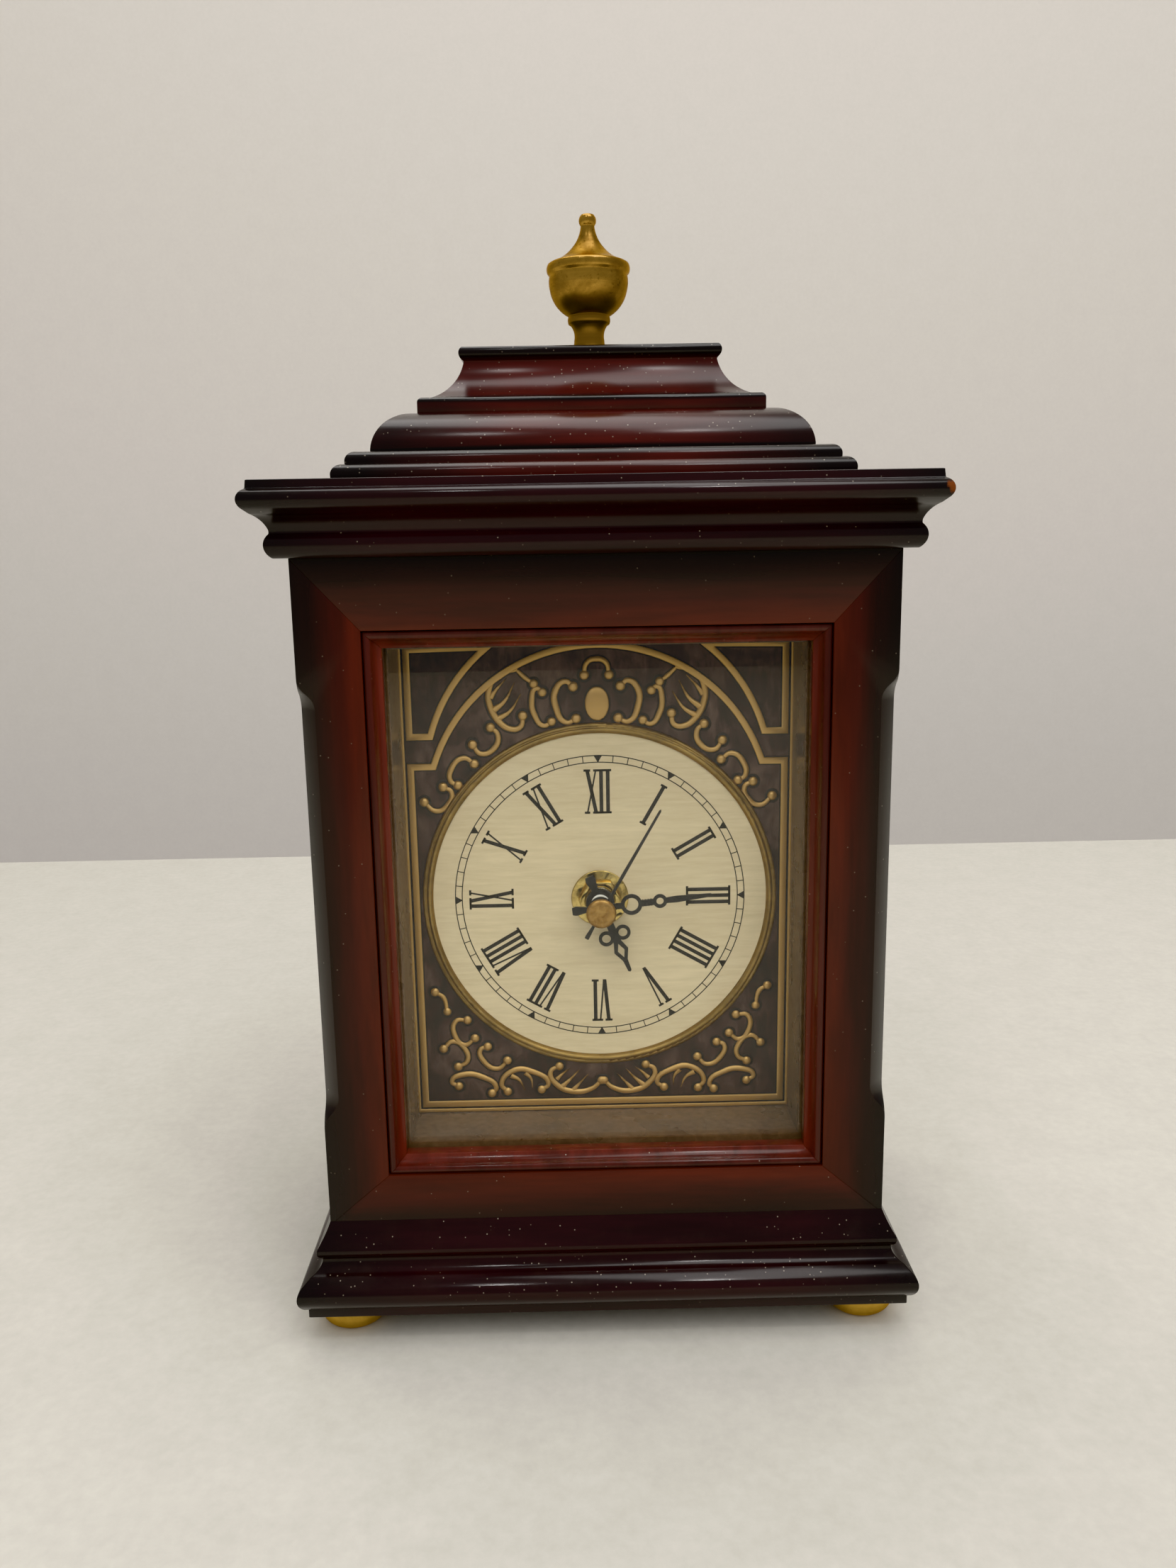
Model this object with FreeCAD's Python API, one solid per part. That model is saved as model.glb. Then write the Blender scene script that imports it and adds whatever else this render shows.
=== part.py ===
"""Wooden mantel clock with a brass finial, a glazed front and a quartz movement.

Millimetres. +Z is up, -Y is the front, and the origin is the middle of the
footprint on the surface that the clock stands on. Moulding profiles are given
as (overhang, height), where overhang is measured outwards from the body faces.
"""
import FreeCAD, Part
import math
import os

from FreeCAD import Vector

# ---------------------------------------------------------------- case sizes
BODY_W, BODY_D = 152.0, 106.0
HALF_W, HALF_D = BODY_W / 2, BODY_D / 2
FOOT_H = 8.7
BODY_LOW, BODY_HIGH = 32.8, 213.0
SIDE_T = 9.0
FACE_T = 16.0
BOARD_T = 8.0
DOOR_T = 8.0
MOULD_BACK = 12.0                 # how far a moulding strip reaches under the body
CORNICE_TOP = 231.6
STEP_TOP = 239.3
BLOCK_TOP = 249.9
CAP_TOP = 268.5
TOTAL_H = 304.8

# front opening, sight moulding and dial stack, front to back
OPEN_HALF_W, OPEN_LOW, OPEN_HIGH = 59.3, 47.1, 194.9
SIGHT_GAP = 0.2
SIGHT_W = 4.4
GLASS_FRONT, GLASS_T = -46.0, 2.0
LINER_WALL = 5.0
PLATE_FRONT, PLATE_T = -25.8, 0.8
DIAL_BOARD_T = 6.0
DIAL_Z = 117.0
DIAL_R, DISC_T = 47.2, 0.5
RING_R_OUT, RING_H = 50.1, 1.5
CHAMFER = 4.3
CHAMFER_LOW, CHAMFER_FULL_LOW = 60.2, 71.0
CHAMFER_FULL_HIGH, CHAMFER_HIGH = 174.7, 183.8

# feet
FOOT_X, FOOT_Y, FOOT_R = 72.0, 45.0, 9.75
STUD_R, STUD_TOP = 2.0, 22.0

# rear door and hinges
DOOR_GAP = 0.6
DOOR_LOW = 34.5                   # clears the lip of the base moulding as it swings
HINGE_X, HINGE_Y = HALF_W - SIDE_T, HALF_D + 1.9
HINGE_LEN, HINGE_LEAF_W, HINGE_LEAF_T = 24.0, 8.0, 0.9
KNUCKLE_R, PIN_R, PIN_HOLE_R = 1.6, 0.72, 0.77
HINGE_ZS = (66.0, 180.0)
KNOB_X, KNOB_Z = -57.0, 123.0

# movement
MOVE_HALF, MOVE_CORNER = 28.0, 2.4
MOVE_FRONT = PLATE_FRONT + PLATE_T + DIAL_BOARD_T
MOVE_SEAM = MOVE_FRONT + 14.6
MOVE_BACK = MOVE_SEAM + 1.2
SHELL_T = 1.2
BUSH_R, BUSH_BORE_R, BUSH_FRONT = 4.0, 2.6, -30.3
HOLE_R = 4.3
PIVOT_R, PIVOT_HOLE_R = 0.5, 0.56
PIVOT_FRONT, PIVOT_BACK = MOVE_FRONT + 0.6, MOVE_SEAM + 0.5
HOUR_TUBE = (2.53, 2.05)          # outer and inner radius
MINUTE_TUBE = (1.98, 0.80)
SECOND_ARBOR_R = 0.74
POST_R, POST_BORE_R = 0.60, 0.66
SETTING_R, SETTING_HOLE_R = 1.2, 1.27
CELL_R, CELL_LEN, CELL_GAP = 7.25, 50.5, 0.3
CELL_Y = MOVE_FRONT + SHELL_T + CELL_GAP + CELL_R
CELL_Z = DIAL_Z - MOVE_HALF + SHELL_T + CELL_GAP + CELL_R

# going train and motion work: teeth and modules
CENTRE_M, THIRD_M, MOTION_M, HOUR_M, ROTOR_M = 0.35, 11.9 / 36, 0.4, 0.384, 0.2
CENTRE_TEETH, THIRD_PINION = 60, 8
THIRD_TEETH, SECONDS_PINION = 64, 8
SECONDS_TEETH, INTER_PINION = 60, 10
INTER_TEETH, ROTOR_PINION = 60, 12
CENTRE_PINION, MOTION_TEETH = 12, 36
MOTION_PINION, HOUR_TEETH = 10, 40
SETTING_PINION = 12
ADDENDUM, DEDENDUM = 0.75, 1.1
TIP_SHARE, ROOT_SHARE = 0.20, 0.60
THIRD_AT, MOTION_AT, SETTING_AT, INTER_AT, ROTOR_AT = 60.0, -20.0, 20.0, 150.0, 110.0

# layers of the train, as (front, back)
HOUR_LAYER = (-17.2, -16.2)
MOTION_LAYER = (-14.9, -13.9)
CENTRE_LAYER = (-12.6, -11.8)
THIRD_LAYER = (-10.4, -9.6)
SECONDS_LAYER = (-8.2, -7.6)
INTER_LAYER = (-6.3, -5.7)
LEAF_EXTRA = 0.25                 # how much longer a pinion is than its wheel, each way

# hands: fronts, thickness and where they point, in degrees clockwise from twelve
HAND_T = 0.5
HOUR_HAND_Y, MINUTE_HAND_Y, SECOND_HAND_Y = -31.9, -36.8, -41.4
HOUR_DEG, MINUTE_DEG, SECOND_DEG = 158.0, 84.0, 30.0
CAP_R, CAP_FRONT = 4.1, -42.5


# ---------------------------------------------------------------- shape tools
def box(x, y, z):
    """A box from three (low, high) pairs."""
    return Part.makeBox(x[1] - x[0], y[1] - y[0], z[1] - z[0], Vector(x[0], y[0], z[0]))


def face(path, place):
    """A closed face: a point is a straight line to it, a pair (via, end) is an arc."""
    edges = []
    start = here = place(*path[0])
    for step in path[1:]:
        if isinstance(step[0], tuple):
            end = place(*step[1])
            edges.append(Part.Arc(here, place(*step[0]), end).toShape())
        else:
            end = place(*step)
            edges.append(Part.makeLine(here, end))
        here = end
    edges.append(Part.makeLine(here, start))
    return Part.Face(Part.Wire(edges))


def rod(r, y, x=0.0, z=DIAL_Z):
    """A round bar along Y between the (front, back) pair y."""
    return Part.makeCylinder(r, y[1] - y[0], Vector(x, y[0], z), Vector(0, 1, 0))


def tube(r_out, r_in, y, x=0.0, z=DIAL_Z):
    """A round tube along Y."""
    return rod(r_out, y, x, z).cut(rod(r_in, (y[0] - 1, y[1] + 1), x, z))


def post(r, z, x=0.0, y=0.0):
    """An upright round bar."""
    return Part.makeCylinder(r, z[1] - z[0], Vector(x, y, z[0]))


def turned(path, x=0.0, y=0.0):
    """A solid turned about an upright axis from a (radius, height) path that closes on it."""
    section = face(path, lambda r, z: Vector(x + r, y, z))
    return section.revolve(Vector(x, y, 0), Vector(0, 0, 1), 360)


def turned_y(path, x=0.0, z=DIAL_Z):
    """A solid turned about a front-to-back axis from a (radius, y) path."""
    section = face(path, lambda r, y: Vector(x + r, y, z))
    return section.revolve(Vector(x, 0, z), Vector(0, 1, 0), 360)


def half_turn(shape):
    """A copy turned half round the upright axis: front to back, right to left."""
    copy = shape.copy()
    copy.rotate(Vector(0, 0, 0), Vector(0, 0, 1), 180)
    return copy


def mirrored(shape):
    """A copy on the other side of the clock's middle plane."""
    return shape.mirror(Vector(0, 0, 0), Vector(1, 0, 0))


def plan_wedge(reach, inner):
    """The plan of the front strip of a mitred frame, from mitre to mitre."""
    corners = [(-HALF_W - reach, -HALF_D - reach), (HALF_W + reach, -HALF_D - reach),
               (HALF_W - inner, -HALF_D + inner), (-HALF_W + inner, -HALF_D + inner)]
    return face(corners, lambda x, y: Vector(x, y, 0)).extrude(Vector(0, 0, TOTAL_H))


def mitred_ring(profile):
    """Front, right, back and left strips of one moulding, mitred at the corners."""
    reach = 20.0
    long = Vector(2 * (HALF_W + reach), 0, 0)
    front = face(profile, lambda p, z: Vector(-HALF_W - reach, -HALF_D - p, z)).extrude(long)
    front = front.common(plan_wedge(reach, MOULD_BACK + 8))
    deep = Vector(0, 2 * (HALF_D + reach), 0)
    right = face(profile, lambda p, z: Vector(HALF_W + p, -HALF_D - reach, z)).extrude(deep)
    wedges = plan_wedge(reach, MOULD_BACK + 8)
    right = right.cut(wedges).cut(half_turn(wedges))
    return front, right, half_turn(front), half_turn(right)


def moulded_block(profile, high):
    """A solid block on a rectangular plan whose four edges have one profile, up to the height high."""
    low = profile[0][1]
    across = face(profile + [(-HALF_W, high), (-HALF_W, low)], lambda p, z: Vector(HALF_W + p, -HALF_D, z))
    across = across.extrude(Vector(0, BODY_D, 0))
    along = face(profile + [(-HALF_D, high), (-HALF_D, low)], lambda p, z: Vector(-HALF_W, HALF_D + p, z))
    along = along.extrude(Vector(BODY_W, 0, 0))
    across = across.fuse(half_turn(across)).removeSplitter()
    along = along.fuse(half_turn(along)).removeSplitter()
    return across.common(along)


def opening_wedge(upright):
    """The area of one mitred member round the front opening: the right stile or the top rail."""
    corner_high = [(OPEN_HALF_W, OPEN_HIGH), (HALF_W, BODY_HIGH)]
    if upright:
        corners = [(OPEN_HALF_W, OPEN_LOW), (HALF_W, BODY_LOW)] + corner_high[::-1]
    else:
        corners = corner_high + [(-x, z) for x, z in corner_high[::-1]]
    front = face(corners, lambda x, z: Vector(x, -HALF_D, z))
    return front.extrude(Vector(0, FACE_T, 0))


# ---------------------------------------------------------------- case
def base_profile():
    """Plinth fillet, large torus, ogee, quirk and bead, and a slope up to the body."""
    return [(-MOULD_BACK, FOOT_H), (6.1, FOOT_H), (6.1, 11.4), (7.1, 11.8),
            ((8.6, 15.5), (7.5, 18.2)), (5.2, 20.2), ((3.1, 21.7), (2.3, 23.5)), (2.3, 24.2),
            ((3.45, 25.5), (3.3, 27.4)), ((1.5, 30.5), (0.0, 34.0)), (0.0, BODY_LOW),
            (-MOULD_BACK, BODY_LOW)]


def cornice_profile():
    """Bead, cavetto, crown bead and a top fillet."""
    return [(-MOULD_BACK - 2, BODY_HIGH), (3.1, BODY_HIGH), ((4.8, 216.6), (3.55, 219.0)),
            (3.6, 219.8), ((5.0, 222.1), (7.2, 223.7)), (8.3, 224.6), ((9.5, 227.2), (7.6, 229.5)),
            (7.4, CORNICE_TOP), (-MOULD_BACK - 2, CORNICE_TOP)]


def strips(name, profile):
    """The four strips of a moulding as named nodes."""
    sides = ("front", "right", "back", "left")
    return {f"{name}_{side}": strip for side, strip in zip(sides, mitred_ring(profile))}


def base():
    """Base moulding with pilot holes for the feet, and the board inside it."""
    nodes = strips("base_moulding", base_profile())
    for side in ("left", "right"):
        sign = -1 if side == "left" else 1
        for y in (-FOOT_Y, FOOT_Y):
            hole = post(STUD_R + 0.05, (FOOT_H - 1, STUD_TOP + 0.5), sign * FOOT_X, y)
            nodes[f"base_moulding_{side}"] = nodes[f"base_moulding_{side}"].cut(hole)
    inner_w, inner_d = HALF_W - MOULD_BACK, HALF_D - MOULD_BACK
    nodes["base_board"] = box((-inner_w, inner_w), (-inner_d, inner_d), (BODY_LOW - BOARD_T, BODY_LOW))
    return nodes


def foot(x, y):
    """A turned brass bun foot with its own screw stud."""
    path = [(0, 0), (6.4, 0), (6.9, 0.4), ((FOOT_R, 4.3), (8.3, 7.4)), (7.2, 7.6), (7.2, FOOT_H),
            (STUD_R, FOOT_H), (STUD_R, STUD_TOP), (0, STUD_TOP)]
    return turned(path, x, y)


def chamfer_cutter():
    """The wedge that leaves a stopped chamfer with curved ends on the front right corner."""
    deep = CHAMFER / math.sqrt(2)
    low, full_low = CHAMFER_LOW, CHAMFER_FULL_LOW
    high, full_high = CHAMFER_HIGH, CHAMFER_FULL_HIGH
    rise, fall = full_low - low, high - full_high
    path = [(0, low), ((0.12 * deep, low + 0.28 * rise), (0.5 * deep, low + 0.5 * rise)),
            ((0.88 * deep, low + 0.72 * rise), (deep, full_low)), (deep, full_high),
            ((0.88 * deep, high - 0.72 * fall), (0.5 * deep, high - 0.5 * fall)),
            ((0.12 * deep, high - 0.28 * fall), (0, high)), (-3, high), (-3, low)]
    along = Vector(1, 1, 0) * (12 / math.sqrt(2))
    corner = Vector(HALF_W, -HALF_D, 0)
    inward = Vector(-1, 1, 0) / math.sqrt(2)
    side = face(path, lambda d, z: corner + inward * d + Vector(0, 0, z) - along * 0.5)
    return side.extrude(along)


def body():
    """Face frame, sides and the boards that close the body above and below."""
    stile = opening_wedge(True).cut(chamfer_cutter())
    rail_top = opening_wedge(False)
    low_corner = [(OPEN_HALF_W, OPEN_LOW), (HALF_W, BODY_LOW)]
    corners = low_corner + [(-x, z) for x, z in low_corner[::-1]]
    rail_bottom = face(corners, lambda x, z: Vector(x, -HALF_D, z)).extrude(Vector(0, FACE_T, 0))
    inner = HALF_W - SIDE_T
    side = box((inner, HALF_W), (-HALF_D + FACE_T, HALF_D), (BODY_LOW, BODY_HIGH))
    groove_y = (PLATE_FRONT + PLATE_T, MOVE_FRONT)
    side = side.cut(box((inner - 1, inner + 2), groove_y, (BODY_LOW + 2, BODY_HIGH - 2)))
    top = box((-inner, inner), (-HALF_D + FACE_T, HALF_D - DOOR_T - 0.2), (BODY_HIGH - BOARD_T, BODY_HIGH))
    return {
        "frame_stile_right": stile,
        "frame_stile_left": mirrored(stile),
        "frame_rail_top": rail_top,
        "frame_rail_bottom": rail_bottom,
        "side_right": side,
        "side_left": mirrored(side),
        "top_board": top,
    }


def sight_mouldings():
    """The small moulding round the glass: four mitred strips set into the face frame."""
    section = [(0, GLASS_FRONT - 0.1), (0, -51.8), ((1.1, -52.8), (2.2, -51.9)),
               ((3.1, -50.5), (SIGHT_W, -49.6)), (SIGHT_W, GLASS_FRONT - 0.1)]
    edge_x = OPEN_HALF_W - SIGHT_GAP
    low, high = OPEN_LOW + SIGHT_GAP, OPEN_HIGH - SIGHT_GAP
    reach = 8.0
    nodes = {}
    right = face(section, lambda w, y: Vector(edge_x - w, y, low - reach))
    right = right.extrude(Vector(0, 0, high - low + 2 * reach))
    plan = [(edge_x, low), (edge_x, high), (edge_x - SIGHT_W, high - SIGHT_W),
            (edge_x - SIGHT_W, low + SIGHT_W)]
    wedge = face(plan, lambda x, z: Vector(x, -HALF_D - 5, z)).extrude(Vector(0, 20, 0))
    nodes["sight_moulding_right"] = right.common(wedge)
    nodes["sight_moulding_left"] = mirrored(nodes["sight_moulding_right"])
    for name, edge, inward in (("top", high, -1), ("bottom", low, 1)):
        strip = face(section, lambda w, y: Vector(-edge_x - reach, y, edge + inward * w))
        strip = strip.extrude(Vector(2 * (edge_x + reach), 0, 0))
        end = edge + inward * SIGHT_W
        plan = [(-edge_x, edge), (edge_x, edge), (edge_x - SIGHT_W, end), (-edge_x + SIGHT_W, end)]
        wedge = face(plan, lambda x, z: Vector(x, -HALF_D - 5, z)).extrude(Vector(0, 20, 0))
        nodes[f"sight_moulding_{name}"] = strip.common(wedge)
    return nodes


def dial_stack():
    """Glass, liner, dial board, dial plate, raised ring and dial disc."""
    fit = OPEN_HALF_W - 0.3
    low, high = OPEN_LOW + 0.3, OPEN_HIGH - 0.3
    glass = box((-fit, fit), (GLASS_FRONT, GLASS_FRONT + GLASS_T), (low, high))
    liner_y = (GLASS_FRONT + GLASS_T + 0.1, PLATE_FRONT)
    wall = LINER_WALL
    liner = box((-fit, fit), liner_y, (low, high))
    hole_y = (liner_y[0] - 1, liner_y[1] + 1)
    liner = liner.cut(box((-fit + wall, fit - wall), hole_y, (low + wall, high - wall)))
    bore = rod(HOLE_R, (-60, 0))
    plate_y = (PLATE_FRONT, PLATE_FRONT + PLATE_T)
    plate = box((-fit + 2, fit - 2), plate_y, (low + 2, high - 2)).cut(bore)
    board_half = HALF_W - SIDE_T + 1.9
    board_z = (BODY_LOW + 2.2, BODY_HIGH - BOARD_T - 0.2)
    board = box((-board_half, board_half), (PLATE_FRONT + PLATE_T, MOVE_FRONT), board_z).cut(bore)
    back = PLATE_FRONT
    ring = [(DIAL_R, back), (DIAL_R, back - 0.9), (47.7, back - RING_H),
            ((48.2, back - 1.7), (48.7, back - RING_H)), ((49.0, back - 1.0), (49.3, back - 1.2)),
            ((49.8, back - 1.1), (RING_R_OUT, back - 0.5)), (RING_R_OUT, back)]
    return {
        "glass_pane": glass,
        "dial_liner": liner,
        "dial_board": board,
        "dial_plate": plate,
        "dial_ring": turned_y(ring),
        "dial_disc": rod(DIAL_R - 0.05, (back - DISC_T, back)).cut(bore),
    }


def roof():
    """Three stacked blocks that step in to the finial."""
    step = [(-9.6, CORNICE_TOP), (-9.6, 232.9), ((-10.3, 235.2), (-12.5, 236.1)), (-12.8, 236.1),
            (-12.8, 236.6), ((-13.5, 238.6), (-15.9, STEP_TOP))]
    block = [(-18.5, STEP_TOP), (-18.5, 240.2), ((-21.2, 246.4), (-28.0, BLOCK_TOP))]
    cap = [(-29.7, BLOCK_TOP), (-29.7, 252.8), ((-30.1, 253.8), (-31.0, 254.2)), (-33.0, 254.4),
           ((-38.8, 258.8), (-41.4, 264.4)), (-41.4, 264.9), ((-40.2, 266.6), (-41.0, CAP_TOP))]
    stud_hole = post(2.55, (CAP_TOP - 14, CAP_TOP + 1))
    return {
        "roof_step": moulded_block(step, STEP_TOP),
        "roof_block": moulded_block(block, BLOCK_TOP),
        "roof_cap": moulded_block(cap, CAP_TOP).cut(stud_hole),
    }


def finial():
    """Turned brass urn with a pointed knob, on a screw stud."""
    path = [(0, CAP_TOP - 13.5), (2.5, CAP_TOP - 13.5), (2.5, CAP_TOP), (5.2, CAP_TOP),
            ((4.5, 269.8), (4.25, 271.4)), ((4.25, 273.6), (5.2, 275.5)), (5.75, 275.8),
            ((5.95, 276.9), (5.7, 277.9)), ((9.2, 280.9), (10.8, 284.8)), ((11.05, 286.7), (10.85, 288.6)),
            (11.4, 289.2), ((11.6, 290.3), (11.3, 291.4)), (10.6, 291.8),
            ((6.9, 293.6), (4.4, 295.9)), ((2.65, 298.6), (1.9, 301.5)),
            ((2.4, 303.0), (1.7, 304.4)), (0, TOTAL_H)]
    return turned(path)


# ---------------------------------------------------------------- rear door
def hinge_parts():
    """Two butt hinges: case leaves, door leaves, pins and screws."""
    case, door, pins, case_screws, door_screws = [], [], [], [], []
    third = HINGE_LEN / 3
    leaf_y = (HALF_D, HALF_D + HINGE_LEAF_T)
    for z in HINGE_ZS:
        low = z - HINGE_LEN / 2
        clear = KNUCKLE_R + 0.4
        case_leaf = box((HINGE_X + clear, HINGE_X + HINGE_LEAF_W), leaf_y, (low, low + HINGE_LEN))
        door_leaf = box((HINGE_X - HINGE_LEAF_W, HINGE_X - clear), leaf_y, (low, low + HINGE_LEN))
        for part in range(3):
            ends = (low + part * third + 0.1, low + (part + 1) * third - 0.1)
            knuckle = post(KNUCKLE_R, ends, HINGE_X, HINGE_Y)
            if part == 1:
                door_leaf = door_leaf.fuse(knuckle).fuse(box((HINGE_X - clear - 1, HINGE_X), leaf_y, ends))
            else:
                case_leaf = case_leaf.fuse(knuckle).fuse(box((HINGE_X, HINGE_X + clear + 1), leaf_y, ends))
        bore = post(PIN_HOLE_R, (low - 1, low + HINGE_LEN + 1), HINGE_X, HINGE_Y)
        pin = post(PIN_R, (low, low + HINGE_LEN), HINGE_X, HINGE_Y)
        for end in (low - 0.7, low + HINGE_LEN):
            pin = pin.fuse(post(1.15, (end, end + 0.7), HINGE_X, HINGE_Y))
        screws = []
        for side in (1, -1):
            for dz in (-7.5, 7.5):
                screws.append(screw(HINGE_X + side * 5.0, z + dz))
        case_leaf = case_leaf.cut(bore)
        door_leaf = door_leaf.cut(bore)
        for one in screws[:2]:
            case_leaf = case_leaf.cut(one)
        for one in screws[2:]:
            door_leaf = door_leaf.cut(one)
        case.append(case_leaf.removeSplitter())
        door.append(door_leaf.removeSplitter())
        pins.append(pin)
        case_screws += screws[:2]
        door_screws += screws[2:]
    return case, door, pins, case_screws, door_screws


def screw(x, z):
    """A small countersunk brass screw driven forwards through a hinge leaf."""
    front = HALF_D - 5.0
    path = [(0, front), (0.7, front + 1.0), (0.7, HALF_D + 0.1), (1.5, HALF_D + HINGE_LEAF_T),
            (0, HALF_D + HINGE_LEAF_T)]
    return turned_y(path, x, z)


def rear_door(screws):
    """The door panel, drilled for its knob and hinge screws."""
    inner = HALF_W - SIDE_T
    panel = box((-inner + DOOR_GAP + 0.2, inner - 0.4), (HALF_D - DOOR_T, HALF_D),
                (DOOR_LOW, BODY_HIGH - DOOR_GAP))
    panel = panel.cut(rod(1.3, (HALF_D - DOOR_T - 1, HALF_D + 1), KNOB_X, KNOB_Z))
    for one in screws:
        panel = panel.cut(one)
    return panel


def door_knob():
    """A small turned knob with its stem through the door."""
    face_y = HALF_D
    path = [(0, face_y - DOOR_T), (1.25, face_y - DOOR_T), (1.25, face_y), (3.4, face_y),
            (3.4, face_y + 0.8), ((2.0, face_y + 2.2), (2.4, face_y + 3.6)),
            ((4.4, face_y + 5.6), (2.6, face_y + 7.6)), ((1.6, face_y + 8.0), (0.6, face_y + 8.2)),
            (0, face_y + 8.2)]
    return turned_y(path, KNOB_X, KNOB_Z)


# ---------------------------------------------------------------- movement
def polar(distance, degrees, start=(0.0, 0.0)):
    """A point of the train, as (x, z) from the centre arbor."""
    angle = math.radians(degrees)
    return (start[0] + distance * math.cos(angle), start[1] + distance * math.sin(angle))


def centre_distance(wheel, pinion, module):
    """How far apart two meshing arbors stand."""
    return (wheel + pinion) * module / 2


THIRD = polar(centre_distance(CENTRE_TEETH, THIRD_PINION, CENTRE_M), THIRD_AT)
MOTION = polar(centre_distance(MOTION_TEETH, CENTRE_PINION, MOTION_M), MOTION_AT)
SETTING = polar(centre_distance(MOTION_TEETH, SETTING_PINION, MOTION_M), SETTING_AT, MOTION)
INTER = polar(centre_distance(SECONDS_TEETH, INTER_PINION, CENTRE_M), INTER_AT)
ROTOR = polar(centre_distance(INTER_TEETH, ROTOR_PINION, ROTOR_M), ROTOR_AT, INTER)
CENTRE = (0.0, 0.0)


def bearing(start, end):
    """The direction from one arbor to another, in degrees from +X towards +Z."""
    return math.degrees(math.atan2(end[1] - start[1], end[0] - start[0]))


def gear(teeth, module, layer, at, tooth_at):
    """A flat-sided toothed wheel with one tooth centred on the angle tooth_at."""
    pitch = 360.0 / teeth
    tip, root = module * (teeth / 2 + ADDENDUM), module * (teeth / 2 - DEDENDUM)
    points = []
    for tooth in range(teeth):
        middle = tooth_at + tooth * pitch
        for radius, share in ((root, -ROOT_SHARE), (tip, -TIP_SHARE), (tip, TIP_SHARE), (root, ROOT_SHARE)):
            points.append(polar(radius, middle + share * pitch / 2, at))
    outline = face(points, lambda x, z: Vector(x, layer[0], DIAL_Z + z))
    return outline.extrude(Vector(0, layer[1] - layer[0], 0))


def meshed(driver_tooth, driver_teeth, driver_at, teeth, at):
    """The tooth angle that puts a gear in mesh with a driver whose tooth angle is known."""
    line = bearing(driver_at, at)
    share = ((line - driver_tooth) / (360.0 / driver_teeth)) % 1.0
    return line + 180 + (share + 0.5) * 360.0 / teeth


def longer(layer):
    """A pinion's layer, a little longer than that of the wheel it drives."""
    return (layer[0] - LEAF_EXTRA, layer[1] + LEAF_EXTRA)


def rod_at(r, y, at):
    """A round bar on one of the train's arbors."""
    return rod(r, y, at[0], DIAL_Z + at[1])


def arbor(at):
    """A plain arbor between the front plate and the back cover."""
    return rod_at(PIVOT_R, (PIVOT_FRONT, PIVOT_BACK), at)


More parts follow.
